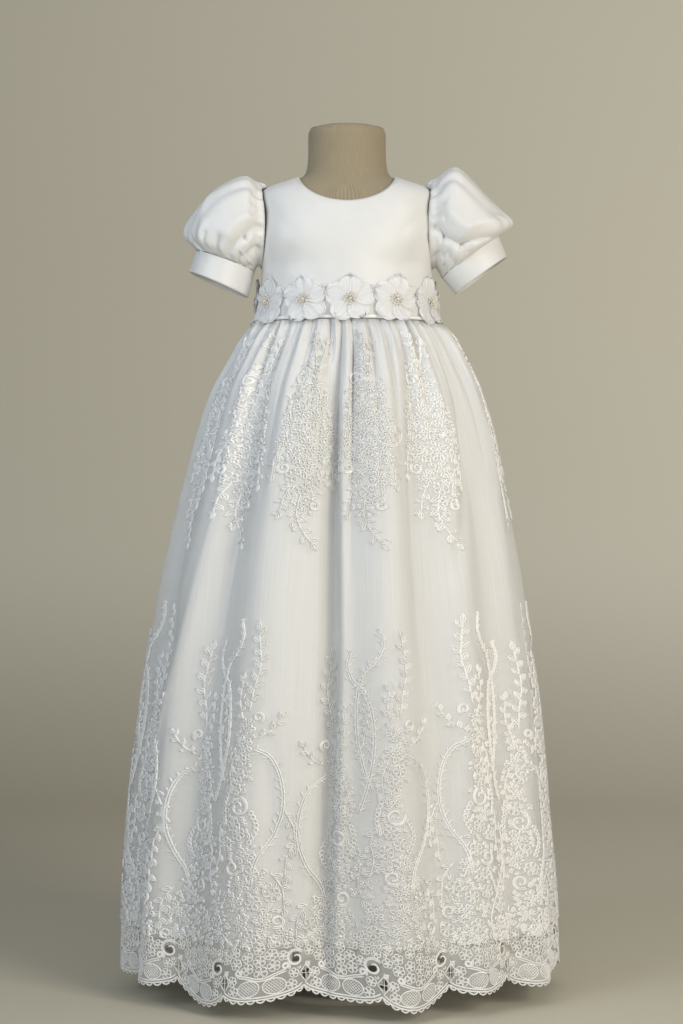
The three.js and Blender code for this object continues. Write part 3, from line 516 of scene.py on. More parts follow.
@dataclass(frozen=True)
class BodiceForm:
    """The fitted bodice: its panels, necklines and armholes."""

    neck_point_z: float = 852.0
    shoulder_tip_z: float = 838.0
    underarm_z: float = 759.0
    waist_z: float = 697.0
    armhole_reach_deg: float = 18.0
    side_seam_deg: float = 0.27

    def reach(self, z: Array) -> Array:
        """Find how far a panel goes from its centre line to its side seam or armhole.

        Args:
            z: Heights.

        Returns:
            The degrees at each height.
        """
        middle = (self.underarm_z + self.shoulder_tip_z) / 2
        half = (self.shoulder_tip_z - self.underarm_z) / 2
        share = np.clip((z - middle) / half, -1, 1)
        return 90 - self.side_seam_deg - self.armhole_reach_deg * np.sqrt(1 - share**2)

    def panel(self, share: Array, rise: Array, neck_drop: float, back: bool) -> Array:
        """Points of a bodice panel.

        Args:
            share: 0 on the panel's centre line, 1 and -1 at its sides.
            rise: 0 at the waist, 1 at the neckline.
            neck_drop: How far the neckline drops at the centre.
            back: Whether the panel lies at the back.

        Returns:
            The points.
        """
        neck_half = float(BODICE.at("half_width", self.neck_point_z))
        quarter = np.radians(90)
        neck_x = neck_half * np.sin(np.abs(share) * quarter)
        neck_z = self.neck_point_z - neck_drop * np.cos(share * quarter)
        share_out = np.minimum(neck_x / BODICE.at("half_width", neck_z), 1)
        share_out = share_out ** (squareness(neck_z) / 2)
        top = np.minimum(np.degrees(np.arcsin(share_out)) / self.reach(neck_z), 1)
        turn = (np.abs(share) + (top - np.abs(share)) * rise**2) * np.sign(share)
        z = self.waist_z + (neck_z - self.waist_z) * rise
        angle = turn * self.reach(z) + (180 if back else 0)
        return BODICE.point(angle, z)


# Meshes of cloth


def grid_piece(
    name: str, columns: int, rows: int, point_at: PointRule, size: Place, skip: PointRule | None = None
) -> Piece:
    """Make a piece from a grid that is moved onto a form.

    Args:
        name: Name of the piece.
        columns: Faces across.
        rows: Faces up.
        point_at: Gives the points, in millimetres, at shares of the way across and up.
        size: Width and length of the cloth in metres, which its UV map is laid out in.
        skip: Tells which faces are left out, from the shares at their middles.

    Returns:
        The piece, linked to the scene.
    """
    shape = bmesh.new()
    shape.loops.layers.uv.new("cloth")
    bmesh.ops.create_grid(shape, x_segments=columns, y_segments=rows, size=1, calc_uvs=True)
    shape.verts.ensure_lookup_table()
    flat = np.array([vertex.co[:2] for vertex in shape.verts]) / 2 + 0.5
    uv_layer = shape.loops.layers.uv["cloth"]
    for face in shape.faces:
        for loop in face.loops:
            across, up = flat[loop.vert.index]
            loop[uv_layer].uv = (across * size[0], up * size[1])
    if skip is not None:
        middles = np.array([face.calc_center_median()[:2] for face in shape.faces]) / 2 + 0.5
        gone = skip(middles[:, 0], middles[:, 1])
        shape.faces.ensure_lookup_table()
        doomed = [face for face, out in zip(shape.faces, gone) if out]
        bmesh.ops.delete(shape, geom=doomed, context="FACES")
        flat = np.array([vertex.co[:2] for vertex in shape.verts]) / 2 + 0.5
    for vertex, place in zip(shape.verts, point_at(flat[:, 0], flat[:, 1]) * MM):
        vertex.co = place
    bmesh.ops.remove_doubles(shape, verts=shape.verts[:], dist=1e-6)
    return piece_from(shape, name)


def piece_from(shape: bmesh.types.BMesh, name: str) -> Piece:
    """Turn a shape into a smooth-shaded object in the scene.

    Args:
        shape: The shape, which is freed.
        name: Name of the piece.

    Returns:
        The piece.
    """
    mesh = bpy.data.meshes.new(name)
    shape.to_mesh(mesh)
    shape.free()
    mesh.shade_smooth()
    piece = bpy.data.objects.new(name, mesh)
    bpy.context.scene.collection.objects.link(piece)
    return piece


def thicken(piece: Piece, thickness: float) -> None:
    """Give a cloth its thickness, inwards.

    Args:
        piece: The cloth.
        thickness: Its thickness in millimetres.
    """
    wall = piece.modifiers.new("wall", "SOLIDIFY")
    wall.thickness = thickness * MM
    wall.offset = -1.0
    wall.use_even_offset = False


def dress(piece: Piece, material: Material, nodes: Sequence[str] = ()) -> Piece:
    """Finish a piece: its material, its body and the nodes it stands for.

    Args:
        piece: The piece.
        material: Its finish.
        nodes: Names of the solids that it replaces.

    Returns:
        The same piece.
    """
    piece.data.materials.clear()
    piece.data.materials.append(material)
    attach(piece, BODY)
    if nodes:
        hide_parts(*nodes)
    LOG.info("%s: %d faces", piece.name, len(piece.data.polygons))
    return piece


# Finishes


def operator(operation: str, reflected: bool = False) -> Callable[[Wire, Wire | float], Wire]:
    """Make a method that adds one Math node.

    Args:
        operation: The node's operation.
        reflected: Whether the other value stands before the wire.

    Returns:
        The method.
    """

    def act(self: Wire, other: Wire | float) -> Wire:
        """Add the node."""
        inputs = {0: other, 1: self} if reflected else {0: self, 1: other}
        return self.paint.wire(self.paint.node("ShaderNodeMath", {"operation": operation}, inputs))

    return act


class Wire:
    """A value on a shader socket; arithmetic on it adds Math nodes."""

    def __init__(self, paint: Paint, socket: bpy.types.NodeSocket) -> None:
        """Hold a socket of a material."""
        self.paint = paint
        self.socket = socket

    __add__ = operator("ADD")
    __radd__ = operator("ADD", reflected=True)
    __sub__ = operator("SUBTRACT")
    __rsub__ = operator("SUBTRACT", reflected=True)
    __mul__ = operator("MULTIPLY")
    __rmul__ = operator("MULTIPLY", reflected=True)
    larger = operator("MAXIMUM")


class Paint:
    """A material under construction, round one Principled shader."""

    def __init__(self, name: str) -> None:
        """Start a material with a bare shader.

        Args:
            name: Name of the material.
        """
        self.material = bpy.data.materials.new(name)
        self.material.use_nodes = True
        self.tree = self.material.node_tree
        self.tree.nodes.clear()
        self.shader = self.node("ShaderNodeBsdfPrincipled")
        output = self.node("ShaderNodeOutputMaterial")
        self.tree.links.new(self.shader.outputs[0], output.inputs[0])

    def node(
        self,
        kind: str,
        settings: dict[str, object] | None = None,
        inputs: dict[str | int, object] | None = None,
    ) -> bpy.types.Node:
        """Add a node.

        Args:
            kind: The node's type.
            settings: Its settings, which are set first.
            inputs: Values or wires for its sockets.

        Returns:
            The node.
        """
        node = self.tree.nodes.new(kind)
        for key, value in (settings or {}).items():
            setattr(node, key, value)
        for key, value in (inputs or {}).items():
            self.feed(node.inputs[key], value)
        return node

    def feed(self, socket: bpy.types.NodeSocket, value: object) -> None:
        """Link a wire to a socket, or set the socket's value.

        Args:
            socket: The socket.
            value: The wire or the value.
        """
        if isinstance(value, Wire):
            self.tree.links.new(value.socket, socket)
        else:
            socket.default_value = value

    def wire(self, node: bpy.types.Node, output: str | int = 0) -> Wire:
        """One output of a node as a wire."""
        return Wire(self, node.outputs[output])

    def place(self, frame: Frame) -> Wire:
        """Texture coordinates in a frame."""
        return self.wire(self.node("ShaderNodeTexCoord"), frame.value)

    def noise(self, place: Wire, scale: float, detail: float = 2.0) -> Wire:
        """Soft noise from 0 to 1."""
        inputs = {"Vector": place, "Scale": scale, "Detail": detail}
        return self.wire(self.node("ShaderNodeTexNoise", {}, inputs), 0)

    def stretched_noise(self, place: Wire, scale: Spot, detail: float) -> Wire:
        """Soft noise from 0 to 1 that is drawn out along the threads."""
        spread = self.node("ShaderNodeMapping", {}, {"Vector": place, "Scale": scale})
        return self.noise(self.wire(spread), 1.0, detail)

    def height_share(self, place: Wire, low: float, high: float) -> Wire:
        """Ease from 0 at a low height to 1 at a high one.

        Args:
            place: Object coordinates.
            low: The low height in metres.
            high: The high height in metres.

        Returns:
            The share of the way up.
        """
        up = self.wire(self.node("ShaderNodeSeparateXYZ", {}, {0: place}), 2)
        ease = {"interpolation_type": "SMOOTHSTEP"}
        return self.wire(self.node("ShaderNodeMapRange", ease, {0: up, 1: low, 2: high}))

    def bands(self, place: Wire, period: float, lay: Lay) -> Wire:
        """Even bands from 0 to 1.

        Args:
            place: Texture coordinates.
            period: Distance between bands in metres.
            lay: Which way they lie.

        Returns:
            The bands.
        """
        settings = {"wave_type": "BANDS", "bands_direction": lay.value, "wave_profile": "SIN"}
        inputs = {"Vector": place, "Scale": math.tau / (20 * period), "Distortion": 0.0}
        return self.wire(self.node("ShaderNodeTexWave", settings, inputs), 1)

    def blend(self, share: Wire, first: Colour, second: Colour) -> Wire:
        """A colour between two colours."""
        inputs = {0: share, 6: (*first, 1.0), 7: (*second, 1.0)}
        return self.wire(self.node("ShaderNodeMix", {"data_type": "RGBA"}, inputs), 2)

    def relief(self, height: Wire, depth: float, strength: float = 1.0) -> None:
        """Bump the surface by a height from 0 to 1 of a depth in metres."""
        inputs = {"Height": height, "Distance": depth, "Strength": strength}
        self.set(Normal=self.wire(self.node("ShaderNodeBump", {}, inputs)))

    def set(self, **sockets: object) -> None:
        """Feed the shader's sockets, whose names have underscores for spaces."""
        for key, value in sockets.items():
            self.feed(self.shader.inputs[key.replace("_", " ")], value)


@dataclass(frozen=True)
class SatinFinish:
    """Smooth bridal satin with a soft sheen."""

    name: str = "white_satin"
    light: Colour = (0.77, 0.765, 0.75)
    shade: Colour = (0.725, 0.72, 0.705)
    roughness: float = 0.4
    thread: float = 0.0007

    def material(self) -> Material:
        """Build the material.

        Returns:
            The material.
        """
        paint = Paint(self.name)
        cloth = paint.place(Frame.CLOTH)
        slub = paint.noise(cloth, 38.0, 3.0)
        weave = paint.bands(cloth, self.thread, Lay.SLANTED)
        paint.set(
            Base_Color=paint.blend(slub, self.shade, self.light),
            Roughness=self.roughness - 0.05 + slub * 0.1,
            Sheen_Weight=0.12,
            Sheen_Roughness=0.4,
            Specular_IOR_Level=0.42,
        )
        paint.relief(weave * 0.25 + slub, 0.0006, 0.35)
        return paint.material


@dataclass(frozen=True)
class SheerFinish:
    """Sheer organza or net with streaks along its threads."""

    name: str
    colour: Colour = (0.97, 0.97, 0.96)
    opacity: float = 0.2
    streak: float = 0.1
    thread: float = 0.0012
    gathered: float = 0.0

    def material(self) -> Material:
        """Build the material, denser where the cloth is gathered at the waist.

        Returns:
            The material.
        """
        paint = Paint(self.name)
        cloth = paint.place(Frame.CLOTH)
        streaks = paint.stretched_noise(cloth, (420.0, 9.0, 1.0), 2.0)
        warp = paint.bands(cloth, self.thread, Lay.ACROSS)
        threads = warp.larger(paint.bands(cloth, self.thread, Lay.ALONG))
        dense = paint.height_share(paint.place(Frame.SPACE), 0.4, 0.7)
        cover = self.opacity - self.streak / 2 + streaks * self.streak + threads * 0.04
        paint.set(
            Base_Color=paint.blend(streaks, tuple(0.95 * c for c in self.colour), self.colour),
            Alpha=cover + dense * self.gathered,
            Roughness=0.5 + streaks * 0.1,
            Specular_IOR_Level=0.3,
        )
        paint.relief(threads, 0.0002, 0.3)
        return paint.material


@dataclass(frozen=True)
class ThreadFinish:
    """White embroidery cord, twisted from fine threads, with painted shade in the grooves of its twist.
    """

    name: str = "white_cord"
    light: Colour = (0.97, 0.965, 0.95)
    shade: Colour = (0.91, 0.905, 0.885)
    twist: float = 0.0011

    def material(self) -> Material:
        """Build the material.

        Returns:
            The material.
        """
        paint = Paint(self.name)
        cord = paint.place(Frame.CLOTH)
        strands = paint.bands(cord, self.twist, Lay.SLANTED)
        tone = paint.noise(cord, 90.0)
        # Painted shade: the cord darkens in the grooves of its twist, along the same bands that raise its
        # relief; the noise is the cord's own uneven tone.
        paint.set(
            Base_Color=paint.blend(strands * 0.6 + tone * 0.4, self.shade, self.light),
            Roughness=0.38 + tone * 0.12,
            Sheen_Weight=0.3,
            Specular_IOR_Level=0.6,
        )
        paint.relief(strands, 0.0003, 0.5)
        return paint.material


@dataclass(frozen=True)
class LinenFinish:
    """Natural linen in a plain weave, with painted shade in its weave and over the whole cloth."""

    name: str = "natural_linen"
    # Painted shade: both colours are darker than natural linen, to stand for shade over the form's neck.
    light: Colour = (0.44, 0.37, 0.255)
    shade: Colour = (0.18, 0.145, 0.09)
    thread: float = 0.0018

    def material(self) -> Material:
        """Build the material.

        Returns:
            The material.
        """
        paint = Paint(self.name)
        cloth = paint.place(Frame.CLOTH)
        slub = paint.stretched_noise(cloth, (900.0, 60.0, 1.0), 3.0)
        weft = paint.bands(cloth, self.thread, Lay.ALONG) * 0.7
        threads = paint.bands(cloth, self.thread, Lay.ACROSS).larger(weft)
        # Painted shade: the colour follows the same height as the relief, so the weave's gaps are painted
        # darker; the slub is the linen's own uneven tone.
        tone = threads * 0.45 + slub * 0.55
        paint.set(
            Base_Color=paint.blend(tone, self.shade, self.light),
            Roughness=0.82 + slub * 0.12,
            Sheen_Weight=0.1,
            Specular_IOR_Level=0.2,
        )
        paint.relief(tone, 0.0004, 0.7)
        return paint.material


@dataclass(frozen=True)
class PearlFinish:
    """Pearls and seed beads with a soft lustre."""

    name: str = "pearl_bead"
    light: Colour = (0.86, 0.80, 0.67)
    shade: Colour = (0.70, 0.62, 0.48)

    def material(self) -> Material:
        """Build the material.

        Returns:
            The material.
        """
        paint = Paint(self.name)
        tone = paint.noise(paint.place(Frame.SPACE), 240.0)
        paint.set(
            Base_Color=paint.blend(tone, self.shade, self.light),
            Roughness=0.2 + tone * 0.12,
            Coat_Weight=0.5,
            Coat_Roughness=0.1,
        )
        return paint.material


@dataclass(frozen=True)
class PaintFinish:
    """Satin taupe paint on metal."""

    name: str = "taupe_paint"
    light: Colour = (0.40, 0.37, 0.31)
    shade: Colour = (0.33, 0.305, 0.25)

    def material(self) -> Material:
        """Build the material.

        Returns:
            The material.
        """
        paint = Paint(self.name)
        place = paint.place(Frame.SPACE)
        grain = paint.noise(place, 900.0)
        wear = paint.noise(place, 14.0, 4.0)
        paint.set(
            Base_Color=paint.blend(wear, self.shade, self.light),
            Roughness=0.42 + wear * 0.15,
            Specular_IOR_Level=0.45,
        )
        paint.relief(grain, 0.0002, 0.4)
        return paint.material


@dataclass(frozen=True)
class BackdropFinish:
    """Plain pale paper of the floor and backdrop, with painted shade."""

    name: str = "studio_paper"
    # Ends of the paper's painted light and shade, from the shaded floor to the lit wall; the tone shifts
    # the whole painted shading lighter.
    light: Colour = (0.96, 0.915, 0.765)
    shade: Colour = (0.43, 0.40, 0.316)
    tone: float = 0.29

    def material(self) -> Material:
        """Build the material, with painted shade: the paper is darker on the floor than on the wall, and
        on the left than on the right.

        The paper shows from its front alone, so that the gown can be looked at from behind.

        Returns:
            The material.
        """
        paint = Paint(self.name)
        place = paint.place(Frame.SPACE)
        aside = paint.wire(paint.node("ShaderNodeSeparateXYZ", {}, {0: place}), 0)
        # Painted shade: darker towards the floor and towards the left, where less light falls; the noise
        # is the paper's own uneven tone.
        tone = paint.height_share(place, -0.05, 0.45) * 0.5 + aside * 0.2 + paint.noise(place, 0.8) * 0.04
        paint.set(
            Base_Color=paint.blend(tone + self.tone, self.shade, self.light),
            Alpha=1 - paint.wire(paint.node("ShaderNodeNewGeometry"), "Backfacing"),
            Roughness=0.95,
            Specular_IOR_Level=0.05,
        )
        return paint.material


@dataclass(frozen=True)
class GownFinishes:
    """The materials that the gown's pieces share."""

    satin: Material
    organza: Material
    net: Material
    petal: Material
    cord: Material
    pearl: Material


# Embroidery


def smooth_path(points: Sequence[Place], step: float = 3.0) -> Array:
    """A smooth open path through a few points.

    Args:
        points: The points in millimetres.
        step: Rough distance between the path's points.

    Returns:
        The path as an array of points.
    """
    knots = np.asarray(points, dtype=float)
    ends = np.vstack((2 * knots[0] - knots[1], knots, 2 * knots[-1] - knots[-2]))
    parts = []
    for a, b, c, d in zip(ends, ends[1:], ends[2:], ends[3:]):
        count = max(2, int(np.linalg.norm(c - b) / step) + 1)
        t = np.linspace(0, 1, count, endpoint=False)[:, None]
        parts.append(curve_between(a, b, c, d, t))
    return np.vstack((*parts, knots[-1:]))


def turned_path(radius: Values, turn_deg: Array) -> Array:
    """Points at radii and turns about the origin."""
    turn = np.radians(turn_deg)
    return np.stack((radius * np.cos(turn), radius * np.sin(turn)), axis=-1)


def path_normals(path: Array, closed: bool) -> Array:
    """Unit normals of a flat path, to its left.

    Args:
        path: The path's points.
        closed: Whether its end joins its start.

    Returns:
        One normal for each point.
    """
    if closed:
        run = np.roll(path, -1, axis=0) - np.roll(path, 1, axis=0)
    else:
        run = np.gradient(path, axis=0)
    run = unit(run)
    return np.stack((-run[:, 1], run[:, 0]), axis=-1)


@dataclass
class Stroke:
    """One cord laid on the cloth, in the flat."""

    path: Array
    half_width: Array
    height: float
    closed: bool


@dataclass
class Strips:
    """Raised strips in the flat: points, lifts, faces and UVs."""

    flat: Array
    lift: Array
    faces: Array
    uv: Array


@dataclass
class Motif:
    """A drawing in cords, in millimetres: x goes round the gown and y goes up."""

    cord: float = 0.85
    relief: float = 1.0
    full_radius: float = 7.2
    strokes: list[Stroke] = field(default_factory=list)

    def line(self, path: Array, cord: float | None = None, closed: bool = False) -> None:
        """Lay one cord.

        Args:
            path: Its points.
            cord: Its half width, or the motif's own.
            closed: Whether its end joins its start.
        """
        wide = np.full(len(path), self.cord if cord is None else cord)
        if not closed:
            wide[[0, -1]] *= 0.5
        self.strokes.append(Stroke(np.asarray(path, dtype=float), wide, self.relief, closed))

    def double(self, path: Array, apart: float = 1.1, cord: float | None = None) -> None:
        """Lay two cords side by side.

        Args:
            path: The path between them.
            apart: How far each lies from the path.
            cord: Their half width, or the motif's own.
        """
        aside = path_normals(path, False) * apart
        self.line(path + aside, cord)
        self.line(path - aside, cord)

    def put(self, other: Motif, at: Place, turn_deg: float = 0.0, mirror: bool = False) -> None:
        """Lay another motif into this one.

        Args:
            other: The motif.
            at: Where its origin goes.
            turn_deg: How far it is turned.
            mirror: Whether it is flipped left to right first.
        """
        turn = math.radians(turn_deg)
        cos, sin = math.cos(turn), math.sin(turn)
        for stroke in other.strokes:
            x, y = (stroke.path * (-1 if mirror else 1, 1)).T
            path = np.stack((x * cos - y * sin, x * sin + y * cos), -1)
            self.strokes.append(Stroke(path + at, stroke.half_width, stroke.height, stroke.closed))

    def leaf(self, length: float, width: float, at: Place, turn_deg: float) -> None:
        """Lay a corded leaf.

        Args:
            length: Its length.
            width: Its width.
            at: Where its stalk is.
            turn_deg: Where it points, from upright.
        """
        leaf = Motif(self.cord, self.relief)
        t = np.linspace(0, 1, 6)
        side = width / 2 * np.sin(np.pi * t**0.85)
        right = np.stack((side, t * length), -1)
        left = np.stack((-side, t * length), -1)[::-1]
        leaf.line(np.vstack((right, left[1:-1])), self.cord * 0.8, closed=True)
        leaf.line(np.stack((np.zeros(3), np.array([0.1, 0.5, 0.85]) * length), -1), width * 0.16)
        self.put(leaf, at, turn_deg)

    def loop(self, length: float, width: float, at: Place, turn_deg: float) -> None:
        """Lay a narrow loop.

        Args:
            length: Its length.
            width: Its width.
            at: Where its root is.
            turn_deg: Where it points, from upright.
        """
        loop = Motif(self.cord, self.relief)
        along = np.array((0, 0.35, 0.7, 1.0, 0.7, 0.35)) * length
        aside = np.array((0, 0.42, 0.5, 0, -0.5, -0.42)) * width
        loop.line(np.stack((aside, along), -1), None, closed=True)
        self.put(loop, at, turn_deg)

    def daisy(self, radius: float, at: Place, turn_deg: float = 0.0) -> None:
        """Lay a full flower: two rounds of narrow petals, or one open round where it is small.

        Args:
            radius: Its radius.
            at: Its middle.
            turn_deg: How far it is turned.
        """
        if radius < self.full_radius:
            self.bloom(radius, 6, at, turn_deg)
            return
        for count, root, length, start in ((5, 0.1, 0.46, 0), (8, 0.5, 0.6, 20)):
            for k in range(count):
                way = 360 / count * k + start + turn_deg + 11 * math.sin(3.9 * k + turn_deg)
                sin, cos = math.sin(math.radians(way)), math.cos(math.radians(way))
                place = (at[0] - sin * root * radius, at[1] + cos * root * radius)
                uneven = 1 + 0.24 * math.sin(2.7 * k + turn_deg)
                self.loop(length * radius * uneven, 0.36 * radius, place, way)

    def scatter(self, hearts: Sequence[Spot], draw: Draw, aside: float, grow: Place) -> None:
        """Lay full flowers, each a little off its place, of uneven size and turned at random.

        Args:
            hearts: Place and radius of each flower.
            draw: Draws the differences.
            aside: How far off its place a flower may lie.
            grow: Least and greatest size.
        """
        for x, y, radius in hearts:
            off = draw.uniform(-aside, aside, 2)
            size = radius * draw.uniform(*grow)
            self.daisy(size, (x + off[0], y + off[1]), draw.uniform(0, 90))

    def trim(self, low: float) -> None:
        """Take out the cords that reach below a height."""
        self.strokes = [stroke for stroke in self.strokes if stroke.path[:, 1].min() > low]

    def bloom(self, radius: float, petals: int, at: Place, turn_deg: float = 0.0) -> None:
        """Lay a small open flower whose petals are loops round a ring.

        Args:
            radius: Its radius.
            petals: Number of petals.
            at: Its middle.
            turn_deg: How far it is turned.
        """
        flower = Motif(self.cord, self.relief)
        half = radius * math.sin(math.pi / petals) * 0.78
        reach = np.array((0.24, 0.55, 0.88, 1.0, 0.88, 0.55)) * radius
        aside = np.array((0, 0.8, 0.85, 0, -0.85, -0.8)) * half
        for k in range(petals):
            turn = math.tau * k / petals
            cos, sin = math.cos(turn), math.sin(turn)
            petal = np.stack((reach * cos - aside * sin, reach * sin + aside * cos), -1)
            flower.line(petal, self.cord * 0.85, closed=True)
        heart = turned_path(radius * 0.16, np.linspace(0, 360, 5, endpoint=False))
        flower.line(heart, None, closed=True)
        self.put(flower, at, turn_deg)

    def scroll(self, radius: float, at: Place, turn_deg: float, mirror: bool = False) -> None:
        """Lay a C-shaped scroll of two cords that curls in at its end.

        Args:
            radius: Its radius.
            at: Its middle.
            turn_deg: How far it is turned.
            mirror: Whether it is flipped first.
        """
        scroll = Motif(self.cord, self.relief * 1.2)
        turn = np.linspace(-30, 420, 24)
        share = (turn + 30) / 450
        reach = radius * (1 - 0.78 * share**1.25)
        for apart in (0, 1.7):
            scroll.line(turned_path(reach - apart * (1 - share), turn), self.cord * 1.1)
        self.put(scroll, at, turn_deg, mirror=mirror)

    def branch(self, points: Sequence[Place], spike: float = 6.4, gap: float = 4.4) -> None:
        """Lay a double stem with short thorns on both sides.

        Args:
            points: A few points of the stem.
            spike: Length of a thorn.
            gap: Distance between thorns.
        """
        path = smooth_path(points, 3.5)
        self.double(path, 1.1, self.cord)
        run = run_along(path)
        aside = path_normals(path, False)
        for k, at in enumerate(np.arange(gap, run[-1], gap)):
            side = 1 if k % 2 else -1
            root, out = at_run(path, run, at), at_run(aside, run, at) * side
            along = np.array((out[1], -out[0])) * side
            tip = root + (out * 0.85 - along * 0.55) * spike * (0.8 + 0.3 * math.sin(2.4 * k))
            self.line(np.array((root + out, (root + out + tip) / 2, tip)), self.cord * 0.85)

    def rings(self, points: Sequence[Place], radius: float = 2.1) -> None:
        """Lay a chain of small rings.

        Args:
            points: A few points of its path.
            radius: Radius of a ring.
        """
        path = smooth_path(points, 1.0)
        run = run_along(path)
        ring = turned_path(radius, np.linspace(0, 360, 8, endpoint=False))
        for at in np.arange(radius, run[-1], radius * 2.1):
            self.line(ring + at_run(path, run, at), None, closed=True)

    def sprig(self, points: Sequence[Place], leaf: float, gap: float, spread: float = 48.0) -> None:
        """Lay a leafy stem.

        Args:
            points: A few points of the stem, from its root to its tip.
            leaf: Length of the leaves.
            gap: Distance between leaves.
            spread: Degrees that the leaves stand off the stem.
        """
        path = smooth_path(points, 3.0)
        self.line(path)
        run = run_along(path)
        for k, at in enumerate([*np.arange(gap * 0.6, run[-1] - 1, gap), run[-1]]):
            near = (at, min(at + 1, run[-1]), at - 1)
            root, ahead, behind = at_run(path, run, near)
            way = math.degrees(math.atan2(ahead[1] - behind[1], ahead[0] - behind[0])) - 90
            lean = 0 if at >= run[-1] else spread * (1 if k % 2 else -1)
            self.leaf(leaf, leaf * 0.5, root, way + lean)

    def fill(self, inside: PointRule, box: Box, spacing: float, seed: int) -> None:
        """Fill what is left bare with small loops and curls that flow along the design.

        Args:
            inside: Gives how densely to fill, from 0 to 1, at each place.
            box: Left, right, low and high limits.
            spacing: Distance between the curls.
            seed: Seed of the scatter.
        """
        draw = np.random.default_rng(seed)
        left, right, low, high = box
        cell, loop_share = 0.42 * spacing, 0.72
        taken = np.zeros((int((right - left) / cell) + 3, int((high - low) / cell) + 3), dtype=bool)
        for stroke in self.strokes:
            spots = np.round((stroke.path - (left, low)) / cell).astype(int)
            fits = ((spots >= 1) & (spots < np.array(taken.shape) - 1)).all(axis=1)
            for across in (-1, 0, 1):
                for up in (-1, 0, 1):
                    taken[spots[fits, 0] + across, spots[fits, 1] + up] = True
        across, up = np.meshgrid(np.arange(left, right, spacing), np.arange(low, high, spacing))
        spots = np.stack((across.ravel(), up.ravel()), -1)
        spots[:, 0] += (np.round(spots[:, 1] / spacing) % 2) * spacing / 2
        spots += draw.uniform(-0.22, 0.22, spots.shape) * spacing
        keep = draw.uniform(0, 1, len(spots)) < inside(spots[:, 0], spots[:, 1])
        cells = np.round((spots - (left, low)) / cell).astype(int)
        cells = np.clip(cells, 0, np.array(taken.shape) - 1)
        keep &= ~taken[cells[:, 0], cells[:, 1]]
        for k, place in enumerate(spots[keep]):
            size = draw.uniform(0.85, 1.2) * spacing
            flow = 180 + 40 * math.sin(place[1] / 11 + place[0] / 9)
            flow += draw.uniform(40, 70) * (1 if k % 2 else -1)
            if draw.uniform() < loop_share:
                self.loop(1.5 * size, 0.6 * size, (place[0], place[1]), flow)
            else:
                self.line(turned_path(0.38 * size, np.linspace(0, 290, 6) + flow) + place)

    def strips(self, underside: bool = False) -> Strips:
        """Turn the cords into raised strips.

        Args:
            underside: Whether the strips are closed below, as on cloth that shows from behind.

        Returns:
            The strips.
        """
        flat, lift, faces, uv = [], [], [], []
        start = 0
        for stroke in self.strokes:
            count = len(stroke.path)
            aside = path_normals(stroke.path, stroke.closed) * stroke.half_width[:, None]
            run = run_along(stroke.path)
            for side in (-1, 0, 1):
                flat.append(stroke.path + side * aside)
                lift.append(np.full(count, stroke.height if side == 0 else 0.0))
                uv.append(np.stack((run, np.full(count, side * stroke.half_width.mean())), -1))
            here = np.arange(count if stroke.closed else count - 1)
            there = (here + 1) % count
            lanes = ((0, 1), (1, 2), (2, 0)) if underside else ((0, 1), (1, 2))
            for a, b in lanes:
                first, second = start + a * count, start + b * count
                corners = (second + here, second + there, first + there, first + here)
                faces.append(np.stack(corners, -1))
            start += 3 * count
        return Strips(np.vstack(flat), np.concatenate(lift), np.vstack(faces), np.vstack(uv))


@dataclass
class Stitching:
    """Strips gathered from many repeats into one mesh."""

    name: str
    points: list[Array] = field(default_factory=list)
    faces: list[Array] = field(default_factory=list)
    uv: list[Array] = field(default_factory=list)
    count: int = 0

    def add(self, strips: Strips, points: Array) -> None:
        """Add one repeat.

        Args:
            strips: Its strips.
            points: Its points on the cloth.
        """
        self.points.append(points)
        self.faces.append(strips.faces + self.count)
        self.uv.append(strips.uv)
        self.count += len(points)

    def piece(self) -> Piece:
        """Join the repeats into one object.

        Returns:
            The piece.
        """
        points, faces = np.vstack(self.points) * MM, np.vstack(self.faces)
        mesh = bpy.data.meshes.new(self.name)
        mesh.vertices.add(len(points))
        mesh.vertices.foreach_set("co", points.astype(np.float32).ravel())
        mesh.loops.add(faces.size)
        mesh.loops.foreach_set("vertex_index", faces.astype(np.int32).ravel())
        mesh.polygons.add(len(faces))
        mesh.polygons.foreach_set("loop_start", np.arange(0, faces.size, 4, dtype=np.int32))
        layer = mesh.uv_layers.new(name="cord")
        uv = (np.vstack(self.uv) * MM)[faces.ravel()]
        layer.data.foreach_set("uv", uv.astype(np.float32).ravel())
        mesh.update(calc_edges=True)
        mesh.validate()
        mesh.shade_smooth()
        piece = bpy.data.objects.new(self.name, mesh)
        bpy.context.scene.collection.objects.link(piece)
        return piece


def is_front(angle: float) -> bool:
    """Whether an angle lies on the front half of the gown."""
    return math.cos(math.radians(angle)) > 0


class Halves:
    """The stitching of the gown's front half and back half, under one name."""

    def __init__(self, name: str) -> None:
        """Start both halves."""
        self.both = {True: Stitching(f"{name}_front"), False: Stitching(f"{name}_back")}

    def at(self, angle: float) -> Stitching:
        """The half that an angle lies on."""
        return self.both[is_front(angle)]

    def pieces(self) -> list[Piece]:
        """Join each half into one object."""
        return [half.piece() for half in self.both.values()]


# Pieces of the gown


